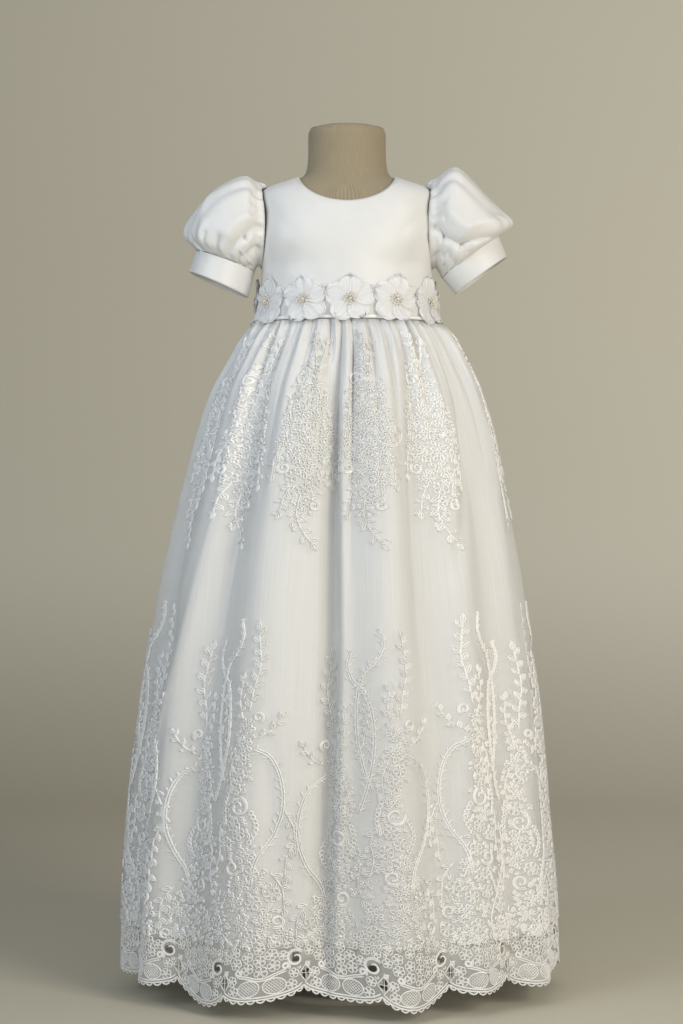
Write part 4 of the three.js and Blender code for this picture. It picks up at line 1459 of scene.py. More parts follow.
@dataclass
class DressForm:
    """The limbless form under the gown, with its pole and base."""

    columns: int = 96
    rows: int = 90
    linen_size: Place = (0.5, 0.42)
    waist_z: float = 700.0
    pole_radius: float = 11.0
    base_radius: float = 96.0
    base_height: float = 8.0
    base_edge: float = 2.5
    edge_rounding: float = 0.8
    seam_gap: float = 0.3
    round_steps: int = 96

    def build(self, linen: Material, paint: Material) -> None:
        """Build and dress the form.

        Args:
            linen: Finish of the torso.
            paint: Finish of the pole and base.
        """
        dress(self.torso(), linen, ["form_torso"])
        pole_foot = self.base_height + self.seam_gap
        pole_head = TORSO.heights[0] - self.seam_gap
        side = self.pole_radius
        pole = ((0, pole_foot), (side, pole_foot), (side, pole_head), (0, pole_head))
        dress(self.turned("form_pole", pole), paint, ["stand_pole"])
        rim, top = self.base_radius, self.base_height
        base = ((0, 0), (rim, 0), (rim, top - self.base_edge), (rim - self.base_edge, top), (0, top))
        dress(self.turned("form_base", base), paint, ["stand_base"])

    def torso(self) -> Piece:
        """Build the linen torso with its flat foot and capped neck.

        Returns:
            The piece.
        """
        low, high = TORSO.heights[0], TORSO.heights[-1]
        foot, cap = 0.05, 0.95

        def point_at(across: Array, up: Array) -> Array:
            """Points of the torso, drawn in to its middle at the foot and the cap.

            Args:
                across: Shares of the way round.
                up: Shares of the way up.

            Returns:
                The points.
            """
            z = low + (high - low) * np.clip((up - foot) / (cap - foot), 0, 1)
            points = TORSO.point(across * 360 + 180, z)
            shrink = np.minimum(np.clip(up / foot, 0, 1), np.clip((1 - up) / (1 - cap), 0, 1))
            middle_y = TORSO.columns["centre_y"][-1] * (z > self.waist_z)
            points[:, 0] *= shrink
            points[:, 1] = middle_y + (points[:, 1] - middle_y) * shrink
            return points

        return grid_piece("linen_form", self.columns, self.rows, point_at, self.linen_size)

    def turned(self, name: str, profile: Sequence[Place]) -> Piece:
        """Spin a profile of radii and heights into a round solid with softened edges.

        Args:
            name: Name of the piece.
            profile: Radius and height of each corner, from the axis round to the axis.

        Returns:
            The piece.
        """
        shape = bmesh.new()
        corners = [shape.verts.new((radius * MM, 0, z * MM)) for radius, z in profile]
        edges = [shape.edges.new(pair) for pair in zip(corners, corners[1:])]
        bmesh.ops.spin(
            shape, geom=corners + edges, cent=(0, 0, 0), axis=(0, 0, 1), angle=math.tau,
            steps=self.round_steps, use_merge=True, use_duplicate=False,
        )
        bmesh.ops.remove_doubles(shape, verts=shape.verts[:], dist=1e-6)
        bmesh.ops.recalc_face_normals(shape, faces=shape.faces[:])
        piece = piece_from(shape, name)
        edge = piece.modifiers.new("edge", "BEVEL")
        edge.affect = "EDGES"
        edge.width = self.edge_rounding * MM
        edge.segments = 2
        edge.profile = 0.5
        edge.material = -1
        edge.limit_method = "ANGLE"
        edge.angle_limit = math.radians(30)
        return piece


@dataclass(frozen=True)
class ClothFold:
    """A soft crease between two ends on a panel, or a ridge where its depth is negative.

    The ends are in the panel's own two measures, and the scale gives the millimetres to each.
    """

    scale: Place
    start_across: float
    start_along: float
    end_across: float
    end_along: float
    width: float
    depth: float

    def sink(self, across: Array, along: Array) -> Array:
        """How far the crease sinks the cloth.

        Args:
            across: First measure of each place.
            along: Second measure of each place.

        Returns:
            The depth at each place.
        """
        aside = turn_between(across, self.start_across)
        place = np.stack((aside, along - self.start_along), -1) * self.scale
        run = np.array((self.end_across - self.start_across, self.end_along - self.start_along))
        run = run * self.scale
        t = np.clip(place @ run / (run @ run), 0, 1)
        gap = np.linalg.norm(place - t[:, None] * run, axis=1)
        return self.depth * np.exp(-((gap / self.width) ** 1.4))


# Soft pulls at the front: x and height of both ends, half width and depth
BODICE_FOLDS = tuple(
    ClothFold((1.0, 1.0), *row)
    for row in (
        (84, 814, 56, 786, 6, 1.0), (88, 790, 66, 756, 6, 0.9), (86, 772, 70, 716, 8, -1.0),
        (-86, 738, -58, 766, 7, 1.0), (-82, 812, -56, 790, 6, 0.8), (-30, 740, -42, 722, 6, 0.8),
        (34, 742, 44, 722, 6, 0.8),
    )
)


@dataclass
class Bodice:
    """The satin bodice: a front panel and two back panels."""

    form: BodiceForm = field(default_factory=BodiceForm)
    columns: int = 64
    rows: int = 56
    wall: float = 1.2
    front_neck_drop: float = 32.0
    back_neck_drop: float = 10.0
    back_seam_share: float = 0.0017
    side_pull: float = 0.9
    waist_drape: float = 0.7
    front_flat: Place = (0.30, 0.16)
    back_flat: Place = (0.15, 0.16)
    front_area: float = 0.0335
    back_area: float = 0.0175

    def build(self, satin: Material) -> None:
        """Build and dress the three panels.

        Args:
            satin: Their finish.
        """
        front = self.panel("satin_bodice_front", -1.0, 1.0, self.front_neck_drop, False)
        dress(front, satin, ["bodice_front"])
        seam = self.back_seam_share
        for name, low, high in (("left", seam, 1.0), ("right", -1.0, -seam)):
            back = self.panel(f"satin_bodice_back_{name}", low, high, self.back_neck_drop, True)
            dress(back, satin, [f"bodice_back_{name}"])

    def panel(self, name: str, low: float, high: float, neck_drop: float, back: bool) -> Piece:
        """Build one panel.

        Args:
            name: Name of the piece.
            low: Share at its first side.
            high: Share at its other side.
            neck_drop: Drop of its neckline.
            back: Whether it lies at the back.

        Returns:
            The piece.
        """

        def point_at(across: Array, up: Array) -> Array:
            """Points of the panel with its pulls."""
            share = low + (high - low) * across
            return self.creased(self.form.panel(share, up, neck_drop, back))

        size = self.back_flat if back else self.front_flat
        piece = grid_piece(name, self.columns, self.rows, point_at, size)
        thicken(piece, self.wall)
        return piece

    def creased(self, points: Array) -> Array:
        """Move points in and out by the soft pulls from armholes to waist.

        Args:
            points: The smooth panel's points.

        Returns:
            The moved points.
        """
        x, z = points[:, 0], points[:, 2]
        side = np.abs(x) / 90
        pull = self.side_pull * np.sin((z - 690) * 0.085 + x * 0.06) * np.clip(side - 0.35, 0, 1)
        drape = self.waist_drape * np.sin(x * 0.09 + 0.6) * np.clip((770 - z) / 80, 0, 1)
        front = np.clip(-points[:, 1] / 20, 0, 1)
        pull = pull - front * sum(fold.sink(x, z) for fold in BODICE_FOLDS)
        flat = points.copy()
        flat[:, 2] = 0
        top = np.clip((835 - z) / 20, 0, 1)
        return points + unit(flat) * ((pull + drape) * top)[:, None]


@dataclass(frozen=True)
class SleeveSection:
    """A section of a sleeve or cuff: its ends at the body and at the outer edge, and its depth."""

    body_x: float
    body_z: float
    edge_x: float
    edge_z: float
    half_depth: float
    gather: float

    def middle(self) -> Array:
        """Point half way between its ends."""
        return np.array((self.edge_x + self.body_x, 0, self.edge_z + self.body_z)) / 2


def sections(*rows: tuple[float, ...]) -> tuple[SleeveSection, ...]:
    """Sections from rows of their sizes."""
    return tuple(SleeveSection(*row) for row in rows)


# From the armhole to the cuff, then both edges of the cuffs
LEFT_SLEEVE = sections(
    (-93.5, 758.5, -97, 847, 41, 1.6), (-94.2, 757.5, -108, 851, 46, 1.6),
    (-95, 756.5, -127, 845, 49, 0.9), (-95.8, 755.5, -145, 833, 50, 0.5),
    (-96.4, 754.5, -160, 813, 48, 0.9), (-96.8, 753.5, -168, 790, 43, 1.6),
    (-97, 752.3, -158, 774.6, 32, 1.0),
)
RIGHT_SLEEVE = sections(
    (93.5, 758.5, 98, 851, 41, 1.6), (94.4, 757, 114, 859, 46, 1.6),
    (95.6, 755, 131, 846, 49, 0.9), (97, 753, 146, 830, 50, 0.5),
    (98.3, 751, 160, 816, 48, 0.9), (99.3, 749, 172, 802, 43, 1.6),
    (100.3, 746.5, 158, 789, 32, 1.0),
)
LEFT_CUFF = sections((-97.1, 751.9, -158.1, 774.2, 33, 0), (-103.5, 725, -166, 752, 34, 0))
RIGHT_CUFF = sections((100.5, 746.2, 158.2, 788.7, 33, 0), (115, 729, 167, 767, 34, 0))

# Folds of the sleeves: turn in degrees from the outer edge by the front, and share of the way from
# armhole to cuff, of both ends; half width and depth
BACK_FOLDS = (
    (-60, 0.05, -52, 0.5, 6, 3), (-100, 0.06, -92, 0.55, 6, 3), (-130, 0.12, -118, 0.6, 5, 3),
    (-40, 0.97, -46, 0.62, 5, 3.5), (-75, 0.97, -80, 0.6, 5, 3.5), (-110, 0.97, -104, 0.6, 5, 3.5),
    (-150, 0.95, -140, 0.6, 5, 3),
)
LEFT_FOLDS = (
    (8, 0.66, 38, 0.98, 3.6, 6.5), (-10, 0.74, 12, 0.95, 6, -3), (30, 0.6, 62, 0.86, 8, -2.5),
    (52, 0.02, 53, 0.15, 3, 3), (64, 0.02, 68, 0.2, 3, 3.4), (78, 0.02, 84, 0.24, 3, 3.4),
    (96, 0.04, 112, 0.45, 3.6, 5), (112, 0.45, 108, 0.88, 3.6, 5), (82, 0.16, 96, 0.66, 8, -2.6),
    (130, 0.1, 136, 0.6, 4, 4), (66, 0.99, 62, 0.8, 3, 3.6), (86, 0.99, 84, 0.76, 3, 4),
    (124, 0.99, 126, 0.72, 3, 4.4), (146, 0.99, 150, 0.75, 3, 3.6),
)
RIGHT_FOLDS = (
    (95, 0.03, 118, 0.28, 3.6, 6.5), (118, 0.28, 108, 0.66, 3.6, 7), (108, 0.66, 58, 0.9, 3.6, 6.5),
    (90, 0.24, 86, 0.6, 8, -3.4), (86, 0.6, 48, 0.78, 7, -3), (66, 0.02, 74, 0.2, 3, 4),
    (80, 0.02, 94, 0.26, 3, 4.4), (50, 0.02, 54, 0.14, 3, 3), (10, 0.8, 34, 0.7, 4, 3.6),
    (142, 0.06, 140, 0.5, 4, 2.6), (134, 0.95, 130, 0.5, 5, 2.2), (104, 0.99, 106, 0.84, 3, 1.6),
    (152, 0.97, 150, 0.6, 3.4, 2.6),
)
SLEEVE_SCALE = (0.8, 105.0)
SLEEVE_FOLDS = {
    Side.LEFT: tuple(ClothFold(SLEEVE_SCALE, *row) for row in LEFT_FOLDS + BACK_FOLDS),
    Side.RIGHT: tuple(ClothFold(SLEEVE_SCALE, *row) for row in RIGHT_FOLDS + BACK_FOLDS),
}


@dataclass
class Sleeve:
    """A puffed satin sleeve with its straight cuff."""

    side: Side
    sections: tuple[SleeveSection, ...]
    cuff: tuple[SleeveSection, ...]
    columns: int = 144
    rows: int = 66
    cuff_rows: int = 14
    wall: float = 1.2
    armhole_lap: float = 2.5
    armhole_lap_deg: float = 2.0
    armhole_lift: float = 0.9
    cap_gather: float = 0.8
    cuff_gather: float = 0.6
    seam_roll: float = 1.1
    seam_lap: float = 1.8
    sleeve_flat: Place = (0.26, 0.115)
    cuff_flat: Place = (0.175, 0.036)
    sleeve_area: float = 0.0255

    def build(self, satin: Material) -> None:
        """Build and dress the sleeve and its cuff.

        Args:
            satin: Their finish.
        """
        name = self.side.name.lower()
        puff_name, cuff_name = f"satin_sleeve_{name}", f"satin_cuff_{name}"
        sleeve = grid_piece(puff_name, self.columns, self.rows, self.puff, self.sleeve_flat)
        thicken(sleeve, self.wall)
        dress(sleeve, satin, [f"sleeve_{name}"])
        cuff = grid_piece(cuff_name, self.columns, self.cuff_rows, self.band, self.cuff_flat)
        thicken(cuff, self.wall)
        dress(cuff, satin, [f"cuff_{name}"])

    def ring(self, section: SleeveSection, turn: Array, gathers: bool = True) -> Array:
        """Points round one section.

        Args:
            section: The section.
            turn: Angles round it, in radians.
            gathers: Whether its edge is gathered.

        Returns:
            The points.
        """
        middle = section.middle()
        along = np.array((section.edge_x, 0, section.edge_z)) - middle
        wave = np.cos(12 * turn + 0.5 * np.sin(3 * turn)) + 0.35 * np.cos(19 * turn + 1)
        height = gathers * section.gather * wave * (1 + np.cos(turn))
        swell = 1 + height / (2 * np.linalg.norm(along))
        points = middle + along * (np.cos(turn) * swell)[:, None]
        points[:, 1] = -section.half_depth * np.sin(turn) * swell
        return points

    def armhole(self, turn: Array) -> Array:
        """Points where the sleeve laps the bodice round its armhole.

        Args:
            turn: Angles round the sleeve, in radians.

        Returns:
            The points.
        """
        form = BodiceForm()
        middle = (form.underarm_z + form.shoulder_tip_z) / 2
        half = (form.shoulder_tip_z - form.underarm_z) / 2 + self.armhole_lap
        reach = form.armhole_reach_deg + self.armhole_lap_deg
        angle = self.side.value * (90 - reach * np.sin(turn))
        return BODICE.point(angle, middle + half * np.cos(turn), self.armhole_lift)

    def puff(self, across: Array, up: Array) -> Array:
        """Points of the sleeve, from its cuff up to the armhole.

        Args:
            across: Shares of the way round.
            up: Shares of the way from cuff to armhole.

        Returns:
            The points.
        """
        turn, down = across * 2 * np.pi, 1 - up
        rings = [self.armhole(turn)]
        rings += [self.ring(section, turn) for section in self.sections]
        rings = np.array([rings[0], *rings, rings[-1]])
        at = down * (len(rings) - 3)
        row = np.clip(at.astype(int), 0, len(rings) - 4)
        t = (at - row)[:, None]
        pick = np.arange(len(at))
        points = curve_between(*(rings[row + k, pick] for k in range(4)), t)
        return points + self.sunk(points, np.degrees(turn), down)

    def sunk(self, points: Array, turn_deg: Array, down: Array) -> Array:
        """How the soft folds and the seams' puckers move the sleeve's points.

        Args:
            points: The smooth sleeve's points.
            turn_deg: Degrees round the sleeve.
            down: Shares of the way from armhole to cuff.

        Returns:
            How far each point moves.
        """
        start, end = self.sections[0].middle(), self.sections[-1].middle()
        inward = unit(start + (end - start) * down[:, None] - points)
        depth = sum(fold.sink(turn_deg, down) for fold in SLEEVE_FOLDS[self.side])
        turn = np.radians(turn_deg)
        cap = np.exp(-((down / 0.16) ** 2)) * (1.1 + np.cos(turn))
        depth += self.cap_gather * cap * np.cos(21 * turn + 1.3 * np.sin(4 * turn))
        cuff = np.exp(-(((1 - down) / 0.13) ** 2))
        depth += self.cuff_gather * cuff * np.cos(29 * turn + 1.6 * np.sin(3 * turn + 1))
        hold = np.clip(down * 12, 0, 1) * np.clip((1 - down) * 14, 0, 1)
        pucker = 1 + 0.18 * np.cos(52 * turn + 2 * np.sin(5 * turn))
        roll = np.sin(np.pi * np.clip(down / 0.1, 0, 1)) * pucker
        moved = inward * (depth * hold - self.seam_roll * roll)[:, None]
        moved[:, 0] -= self.side.value * self.seam_lap * roll
        return moved

    def band(self, across: Array, up: Array) -> Array:
        """Points of the cuff, from its edge up to the sleeve.

        Args:
            across: Shares of the way round.
            up: Shares of the way up.

        Returns:
            The points.
        """
        turn = across * 2 * np.pi
        high, low = (self.ring(section, turn, False) for section in self.cuff)
        return low + (high - low) * up[:, None]


@dataclass
class WaistTrim:
    """The organza band with its corded edge, the flowers on it and their beads."""

    waist_z: float = 697.0
    band_top_z: float = 733.0
    band_lift: float = 1.5
    band_wall: float = 0.6
    band_grid: tuple[int, int] = (160, 16)
    seam_gap: float = 0.3
    cord_z: float = 699.6
    cord_radius: float = 1.9
    cord_clear_z: float = 706.0
    cord_clearance: float = 4.2
    cord_grid: tuple[int, int] = (200, 8)
    cord_size: Place = (0.53, 0.012)
    flowers: int = 11
    first_flower_deg: float = 2.0
    flower_z: float = 718.0
    petals: int = 5
    petal_length: float = 24.5
    petal_half_width: float = 11.8
    petal_root: float = 2.0
    petal_widest: float = 0.55
    petal_wall: float = 0.35
    petal_columns: int = 12
    petal_rows: int = 10
    pearl_radius: float = 1.6
    seed_radius: float = 1.15
    bead_lift: float = 2.6
    seed_rings: tuple[tuple[float, int], ...] = ((3.2, 6), (5.8, 10))
    band_flat: Place = (0.53, 0.036)
    petal_flat: Place = (0.13, 0.024)
    petal_area: float = 0.0022

    def build(self, finish: GownFinishes) -> None:
        """Build and dress the band, the flowers and the beads.

        Args:
            finish: The gown's materials.
        """
        band = grid_piece("organza_band", *self.band_grid, self.band, self.band_flat)
        thicken(band, self.band_wall)
        dress(band, finish.organza, ["waistband"])
        edge = grid_piece("band_cord", *self.cord_grid, self.cord_ring, self.cord_size)
        dress(edge, finish.cord)
        veins = Stitching("flower_veins")
        beads = bmesh.new()
        for index, angle in enumerate(self.flower_angles()):
            flower = self.flower(f"organza_flower_{index + 1:02d}", float(angle), index)
            dress(flower, finish.petal, [f"flower_{index + 1:02d}"])
            self.add_veins(veins, float(angle), index)
            self.add_beads(beads, float(angle))
        dress(veins.piece(), finish.cord)
        dress(piece_from(beads, "flower_beads"), finish.pearl)

    def band(self, across: Array, up: Array) -> Array:
        """Points of the band, softly gathered.

        Args:
            across: Shares of the way round.
            up: Shares of the way up.

        Returns:
            The points.
        """
        foot = self.waist_z + self.seam_gap
        z = foot + (self.band_top_z - foot) * up
        angle = across * 360 + 180
        ripple = 0.45 * waves(angle, ((46, 0.6, 0.3), (71, 0.4, 1.1))) * (1 - 0.5 * up)
        return BODICE.point(angle, z, self.band_lift + ripple)

    def cord_ring(self, across: Array, up: Array) -> Array:
        """Points of the cord along the band's lower edge.

        Args:
            across: Shares of the way round the gown.
            up: Shares of the way round the cord.

        Returns:
            The points.
        """
        angle, turn = across * 360 + 180, up * 2 * np.pi
        out = self.band_lift + 0.8 + self.cord_radius * np.cos(turn)
        return BODICE.point(angle, self.cord_z + self.cord_radius * np.sin(turn), out)

    def flower_angles(self) -> Array:
        """Part the band's round into equal lengths.

        Returns:
            The flowers' angles.
        """
        angle = np.linspace(self.first_flower_deg, self.first_flower_deg + 360, 1441)
        points = BODICE.point(angle, np.full(len(angle), self.flower_z), self.band_lift)
        run = run_along(points)
        return np.interp(np.arange(self.flowers) / self.flowers * run[-1], run, angle)

    def petal_place(
        self, angle: float, index: int, petal: int, across: Array, along: Array
    ) -> tuple[Array, Array, Array]:
        """Where points of a petal lie: sideways, up and out, in millimetres from the flower's heart.

        Args:
            angle: The flower's angle, which only varies its ruffles.
            index: Number of the flower.
            petal: Number of the petal.
            across: From -1 to 1 across the petal.
            along: From 0 at the root to 1 at the tip.

        Returns:
            Sideways, upward and outward distances.
        """
        length = self.petal_length * (1 + 0.07 * math.sin(2.1 * petal + index))
        widest = self.petal_widest
        swell = np.where(
            along < widest,
            0.2 + 0.8 * np.sin(np.clip(along / widest, 0, 1) * np.pi / 2),
            np.sqrt(np.maximum(1 - ((along - widest) / (1 - widest)) ** 2, 0)),
        )
        side = across * self.petal_half_width * swell
        reach = self.petal_root + (length - self.petal_root) * along
        turn_deg = 360 / self.petals * petal + 11 * math.sin(1.7 * index) + 4 * math.sin(3.1 * petal)
        turn = math.radians(turn_deg)
        ruffle = along**2 * np.sin(across * 6.5 + petal * 2.2 + index + angle * 0.02)
        reach = reach + 1.1 * along**3 * np.cos(across * 9 + petal)
        out = 0.8 + 1.7 * along - along**2 + 0.5 * across**2 * along + 0.7 * across + ruffle
        right = side * math.cos(turn) + reach * math.sin(turn)
        up = reach * math.cos(turn) - side * math.sin(turn)
        return right, up, np.maximum(out, 0.5)

    def on_band(self, angle: float, right: Array, up: Array, out: Array) -> Array:
        """Points over the band.

        Args:
            angle: The flower's angle.
            right: Distances sideways from its heart.
            up: Distances upwards.
            out: Distances out from the band.

        Returns:
            The points, which clear the cord at the band's foot.
        """
        sides = np.array([angle - 0.5, angle + 0.5])
        near = BODICE.point(sides, np.full(2, self.flower_z), self.band_lift)
        degrees = 1 / float(np.linalg.norm(near[1] - near[0]))
        z = self.flower_z + up
        low = np.clip((self.cord_clear_z - z) / 8, 0, 1)
        lift = self.band_lift + self.band_wall + out + low * self.cord_clearance
        return BODICE.point(angle + right * degrees, z, lift)

    def flower(self, name: str, angle: float, index: int) -> Piece:
        """Build one flower from its petals.

        Args:
            name: Name of the piece.
            angle: Its angle on the band.
            index: Its number.

        Returns:
            The piece.
        """
        shape = bmesh.new()
        uv_layer = shape.loops.layers.uv.new("cloth")
        for petal in range(self.petals):
            made = bmesh.ops.create_grid(
                shape, x_segments=self.petal_columns, y_segments=self.petal_rows, size=1
            )["verts"]
            flat = np.array([vertex.co[:2] for vertex in made])
            right, up, out = self.petal_place(angle, index, petal, flat[:, 0], flat[:, 1] / 2 + 0.5)
            uv_of = {}
            points = self.on_band(angle, right, up, out) * MM
            cloth = flat * (self.petal_half_width * MM, self.petal_length * MM / 2)
            cloth[:, 1] += self.petal_length * MM / 2
            for vertex, place, uv in zip(made, points, cloth):
                vertex.co = place
                uv_of[vertex] = uv
            for face in {face for vertex in made for face in vertex.link_faces}:
                for loop in face.loops:
                    loop[uv_layer].uv = uv_of[loop.vert]
            bmesh.ops.remove_doubles(shape, verts=made, dist=1e-6)
        piece = piece_from(shape, name)
        thicken(piece, self.petal_wall)
        return piece

    def add_veins(self, veins: Stitching, angle: float, index: int) -> None:
        """Stitch the veins and the corded edges of a flower's petals.

        Args:
            veins: Gathers the stitches.
            angle: The flower's angle.
            index: Its number.
        """
        rim = np.linspace(0, 1, 11)
        up_edge = np.stack((np.full(11, -0.98), rim), -1)
        down_edge = np.stack((np.full(10, 0.98), rim[-2::-1]), -1)
        lines = [(np.vstack((up_edge, down_edge)), 0.22)]
        for lean in (-0.5, 0.0, 0.5):
            along = np.linspace(0.1, 0.95 - 0.2 * abs(lean), 6)
            lines.append((np.stack((lean * np.linspace(0.7, 1.0, 6), along), -1), 0.12))
        for petal in range(self.petals):
            for path, cord in lines:
                right, up, out = self.petal_place(angle, index, petal, path[:, 0], path[:, 1])
                vein = Motif(cord, 0.2)
                vein.line(np.stack((right, up), -1))
                strips = vein.strips()
                out = np.tile(out, 3) + strips.lift + 0.1
                veins.add(strips, self.on_band(angle, strips.flat[:, 0], strips.flat[:, 1], out))

    def add_beads(self, beads: bmesh.types.BMesh, angle: float) -> None:
        """Sew a pearl and two rings of seed beads at a flower's heart.

        Args:
            beads: The mesh that takes them.
            angle: The flower's angle.
        """
        spots = [(0.0, 0.0, self.pearl_radius)]
        for ring, count in self.seed_rings:
            for k in range(count):
                turn = math.tau * (k + ring / 5) / count
                reach = ring + 0.5 * math.sin(2.3 * k + ring)
                spots.append((reach * math.cos(turn), reach * math.sin(turn), self.seed_radius))
        for right, up, radius in spots:
            spot = (np.array([value]) for value in (right, up, self.bead_lift + radius))
            place = self.on_band(angle, *spot)[0] * MM
            detail = 2 if radius == self.pearl_radius else 1
            made = bmesh.ops.create_icosphere(beads, subdivisions=detail, radius=radius * MM)["verts"]
            bmesh.ops.translate(beads, verts=made, vec=Vector(place))


@dataclass
class Skirts:
    """The satin underskirt, the sheer overskirt, its embroidery and its scalloped hem."""

    form: SkirtForm = field(default_factory=SkirtForm)
    satin_grid: tuple[int, int] = (420, 76)
    sheer_grid: tuple[int, int] = (420, 64)
    net_grid: tuple[int, int] = (420, 14)
    front_share_deg: float = 28.0
    seam_gap: float = 0.3
    satin_wall: float = 1.0
    sheer_wall: float = 0.4
    cascade_degs: tuple[float, ...] = (
        -67.5, -42.5, -15, 7.5, 35, 77.5, 105, 132.5, 160, 187.5, 215, 242.5,
    )
    waist_clearance: float = 2.0
    cascade_top_z: float = 678.0
    cascade_middle_z: float = 570.0
    side_cascades: tuple[int, ...] = (0, 5)
    side_spread: float = 0.68
    cascade_hearts: tuple[Spot, ...] = (
        (2, -34, 6.5), (1, -52, 8), (-12, -62, 6.5), (12, -66, 7.5), (-4, -76, 8), (-17, -86, 7.5),
        (9, -86, 8.5), (-5, -98, 9), (17, -102, 8), (-18, -106, 8), (4, -116, 9), (-10, -122, 8),
        (15, -120, 7.5), (2, -136, 8), (-8, -142, 7), (11, -146, 7), (2, -156, 6.5), (6, -168, 5.5),
    )
    cascade_half_widths: tuple[Place, ...] = (
        (0, 2), (20, 7), (45, 13), (75, 22), (105, 27), (130, 23), (155, 16), (175, 10), (190, 3),
    )
    hook: tuple[Place, ...] = (
        (6, -98), (13, -109), (25, -112), (34, -107), (36, -98), (30, -93), (26, -98), (29, -102),
    )
    lower_first_deg: float = 38.0
    lower_top_z: float = 392.0
    lower_middle_z: float = 220.0
    lower_foot_z: float = 70.0
    spray_hearts: tuple[Spot, ...] = (
        (8, -98, 8), (10, -116, 8), (8, -132, 6.5), (12, -146, 7.5), (12, -160, 6.5), (15, -192, 7.5),
        (7, -204, 6.5), (20, -212, 7), (2, -226, 7.5), (-6, -242, 7), (5, -252, 7.5), (-20, -264, 7),
        (10, -268, 7.5), (-6, -272, 7), (30, -274, 7.5), (-14, -288, 7.5), (6, -288, 7.5),
        (34, -290, 6.5), (-30, -304, 7.5), (-4, -304, 7), (28, -306, 7.5),
    )
    spray_branches: tuple[tuple[Place, ...], ...] = (
        ((24, 8), (19, -8), (26, -24), (38, -36), (45, -62), (45, -96), (39, -128), (31, -152)),
        ((-2, -118), (-18, -128), (-28, -150), (-30, -178), (-22, -204), (-8, -228), (-4, -252)),
        ((38, -204), (44, -228), (38, -254), (24, -272), (14, -296), (20, -322)),
    )
    spray_half_widths: tuple[Place, ...] = (
        (90, 7), (120, 13), (160, 13), (220, 16), (270, 24), (296, 36), (320, 44),
    )
    lower_drops: tuple[float, ...] = (0, 30, -6, 16, 38, 4, 24, -2, 34, 10, 22, -8, 28, 6, 36, 14)
    hem_half_mm: float = 38.0
    net_rise: float = 2.5
    edge_cord_rise: float = 3.0
    picots: int = 9
    hem_blooms: tuple[tuple[float, float, float, int], ...] = (
        (0, 29.5, 6, 5), (-26.5, 14.5, 5, 5), (26.5, 14.5, 5, 5), (-28, 25, 5, 6), (-12, 34.5, 5.4, 5),
        (11, 34.5, 5.4, 5), (-23, 41, 5.4, 6), (-1, 40.5, 5.4, 5), (9, 45.5, 5.4, 6), (-12, 46, 5.2, 5),
        (19, 43, 4.6, 5), (-1, 52, 5.2, 6), (-24, 52.5, 5.2, 5), (12, 57, 5, 5), (-12, 58, 5, 6),
        (23, 55, 5, 5), (33, 54, 4.6, 6), (-33, 47, 4.6, 5), (28.5, 25.5, 4.6, 5), (0, 63, 4.6, 5),
    )
    eyelet_rise: float = 27.0
    eyelet_aside_deg: float = -2.0
    eyelet_radius: float = 4.6
    lozenge_rise: float = 12.0
    lozenge_aside_deg: float = 0.5
    lozenge_half: Place = (3.8, 5.6)
    lift: float = 0.3
    cascade_cord: float = 0.56
    spray_cord: float = 0.58
    cord_relief: float = 1.8
    satin_flat: Place = (1.24, 0.66)
    sheer_flat: Place = (1.30, 0.66)
    hem_flat: Place = (1.36, 0.052)

    def build(self, finish: GownFinishes) -> None:
        """Build and dress the skirts, their embroidery and the hem.

        Args:
            finish: The gown's materials.
        """
        under = grid_piece("satin_underskirt", *self.satin_grid, self.under_point, self.satin_flat)
        thicken(under, self.satin_wall)
        panels = ["underskirt_front", "underskirt_back_left", "underskirt_back_right"]
        dress(under, finish.satin, panels)
        over = grid_piece("organza_overskirt", *self.sheer_grid, self.over_point, self.sheer_flat)
        thicken(over, self.sheer_wall)
        dress(over, finish.organza, ["overskirt_front", "overskirt_back"])
        ground = grid_piece("hem_net", *self.net_grid, self.hem_point, self.hem_flat, self.in_gap)
        thicken(ground, self.sheer_wall)
        dress(ground, finish.net, ["hem_lace_front", "hem_lace_back"])
        sewn = self.cascades(finish.cord)
        sprays, border = self.lower_sprays(), self.hem_border()
        for piece in (*sprays, *border):
            dress(piece, finish.cord)
        sewn += sprays

    def around(self, across: Array) -> Array:
        """Angles round the skirt, with columns closer together at the front."""
        return across * 360 + 90 + self.front_share_deg * np.sin(np.radians(360 * across - 90))

    def under_point(self, across: Array, up: Array) -> Array:
        """Points of the underskirt."""
        low, high = self.form.lining_hem_z, self.form.waist_z - self.seam_gap
        return self.form.outer(self.around(across), low + (high - low) * up, satin=True)

    def over_point(self, across: Array, up: Array) -> Array:
        """Points of the overskirt."""
        low, high = self.form.lining_hem_z + self.seam_gap, self.form.waist_z - self.seam_gap
        return self.form.outer(self.around(across), low + (high - low) * up)

    def hem_point(self, across: Array, up: Array) -> Array:
        """Points of the net ground of the hem."""
        angle = across * 360 + 90
        return self.form.outer(angle, self.hem_height(angle, up))

    def hem_height(self, angle: Array, up: Array) -> Array:
        """Heights on the hem between its scalloped edge and the overskirt."""
        edge = self.form.hem_base(angle) + self.form.scallop(angle) + self.net_rise
        return edge + (self.form.lining_hem_z - edge) * up

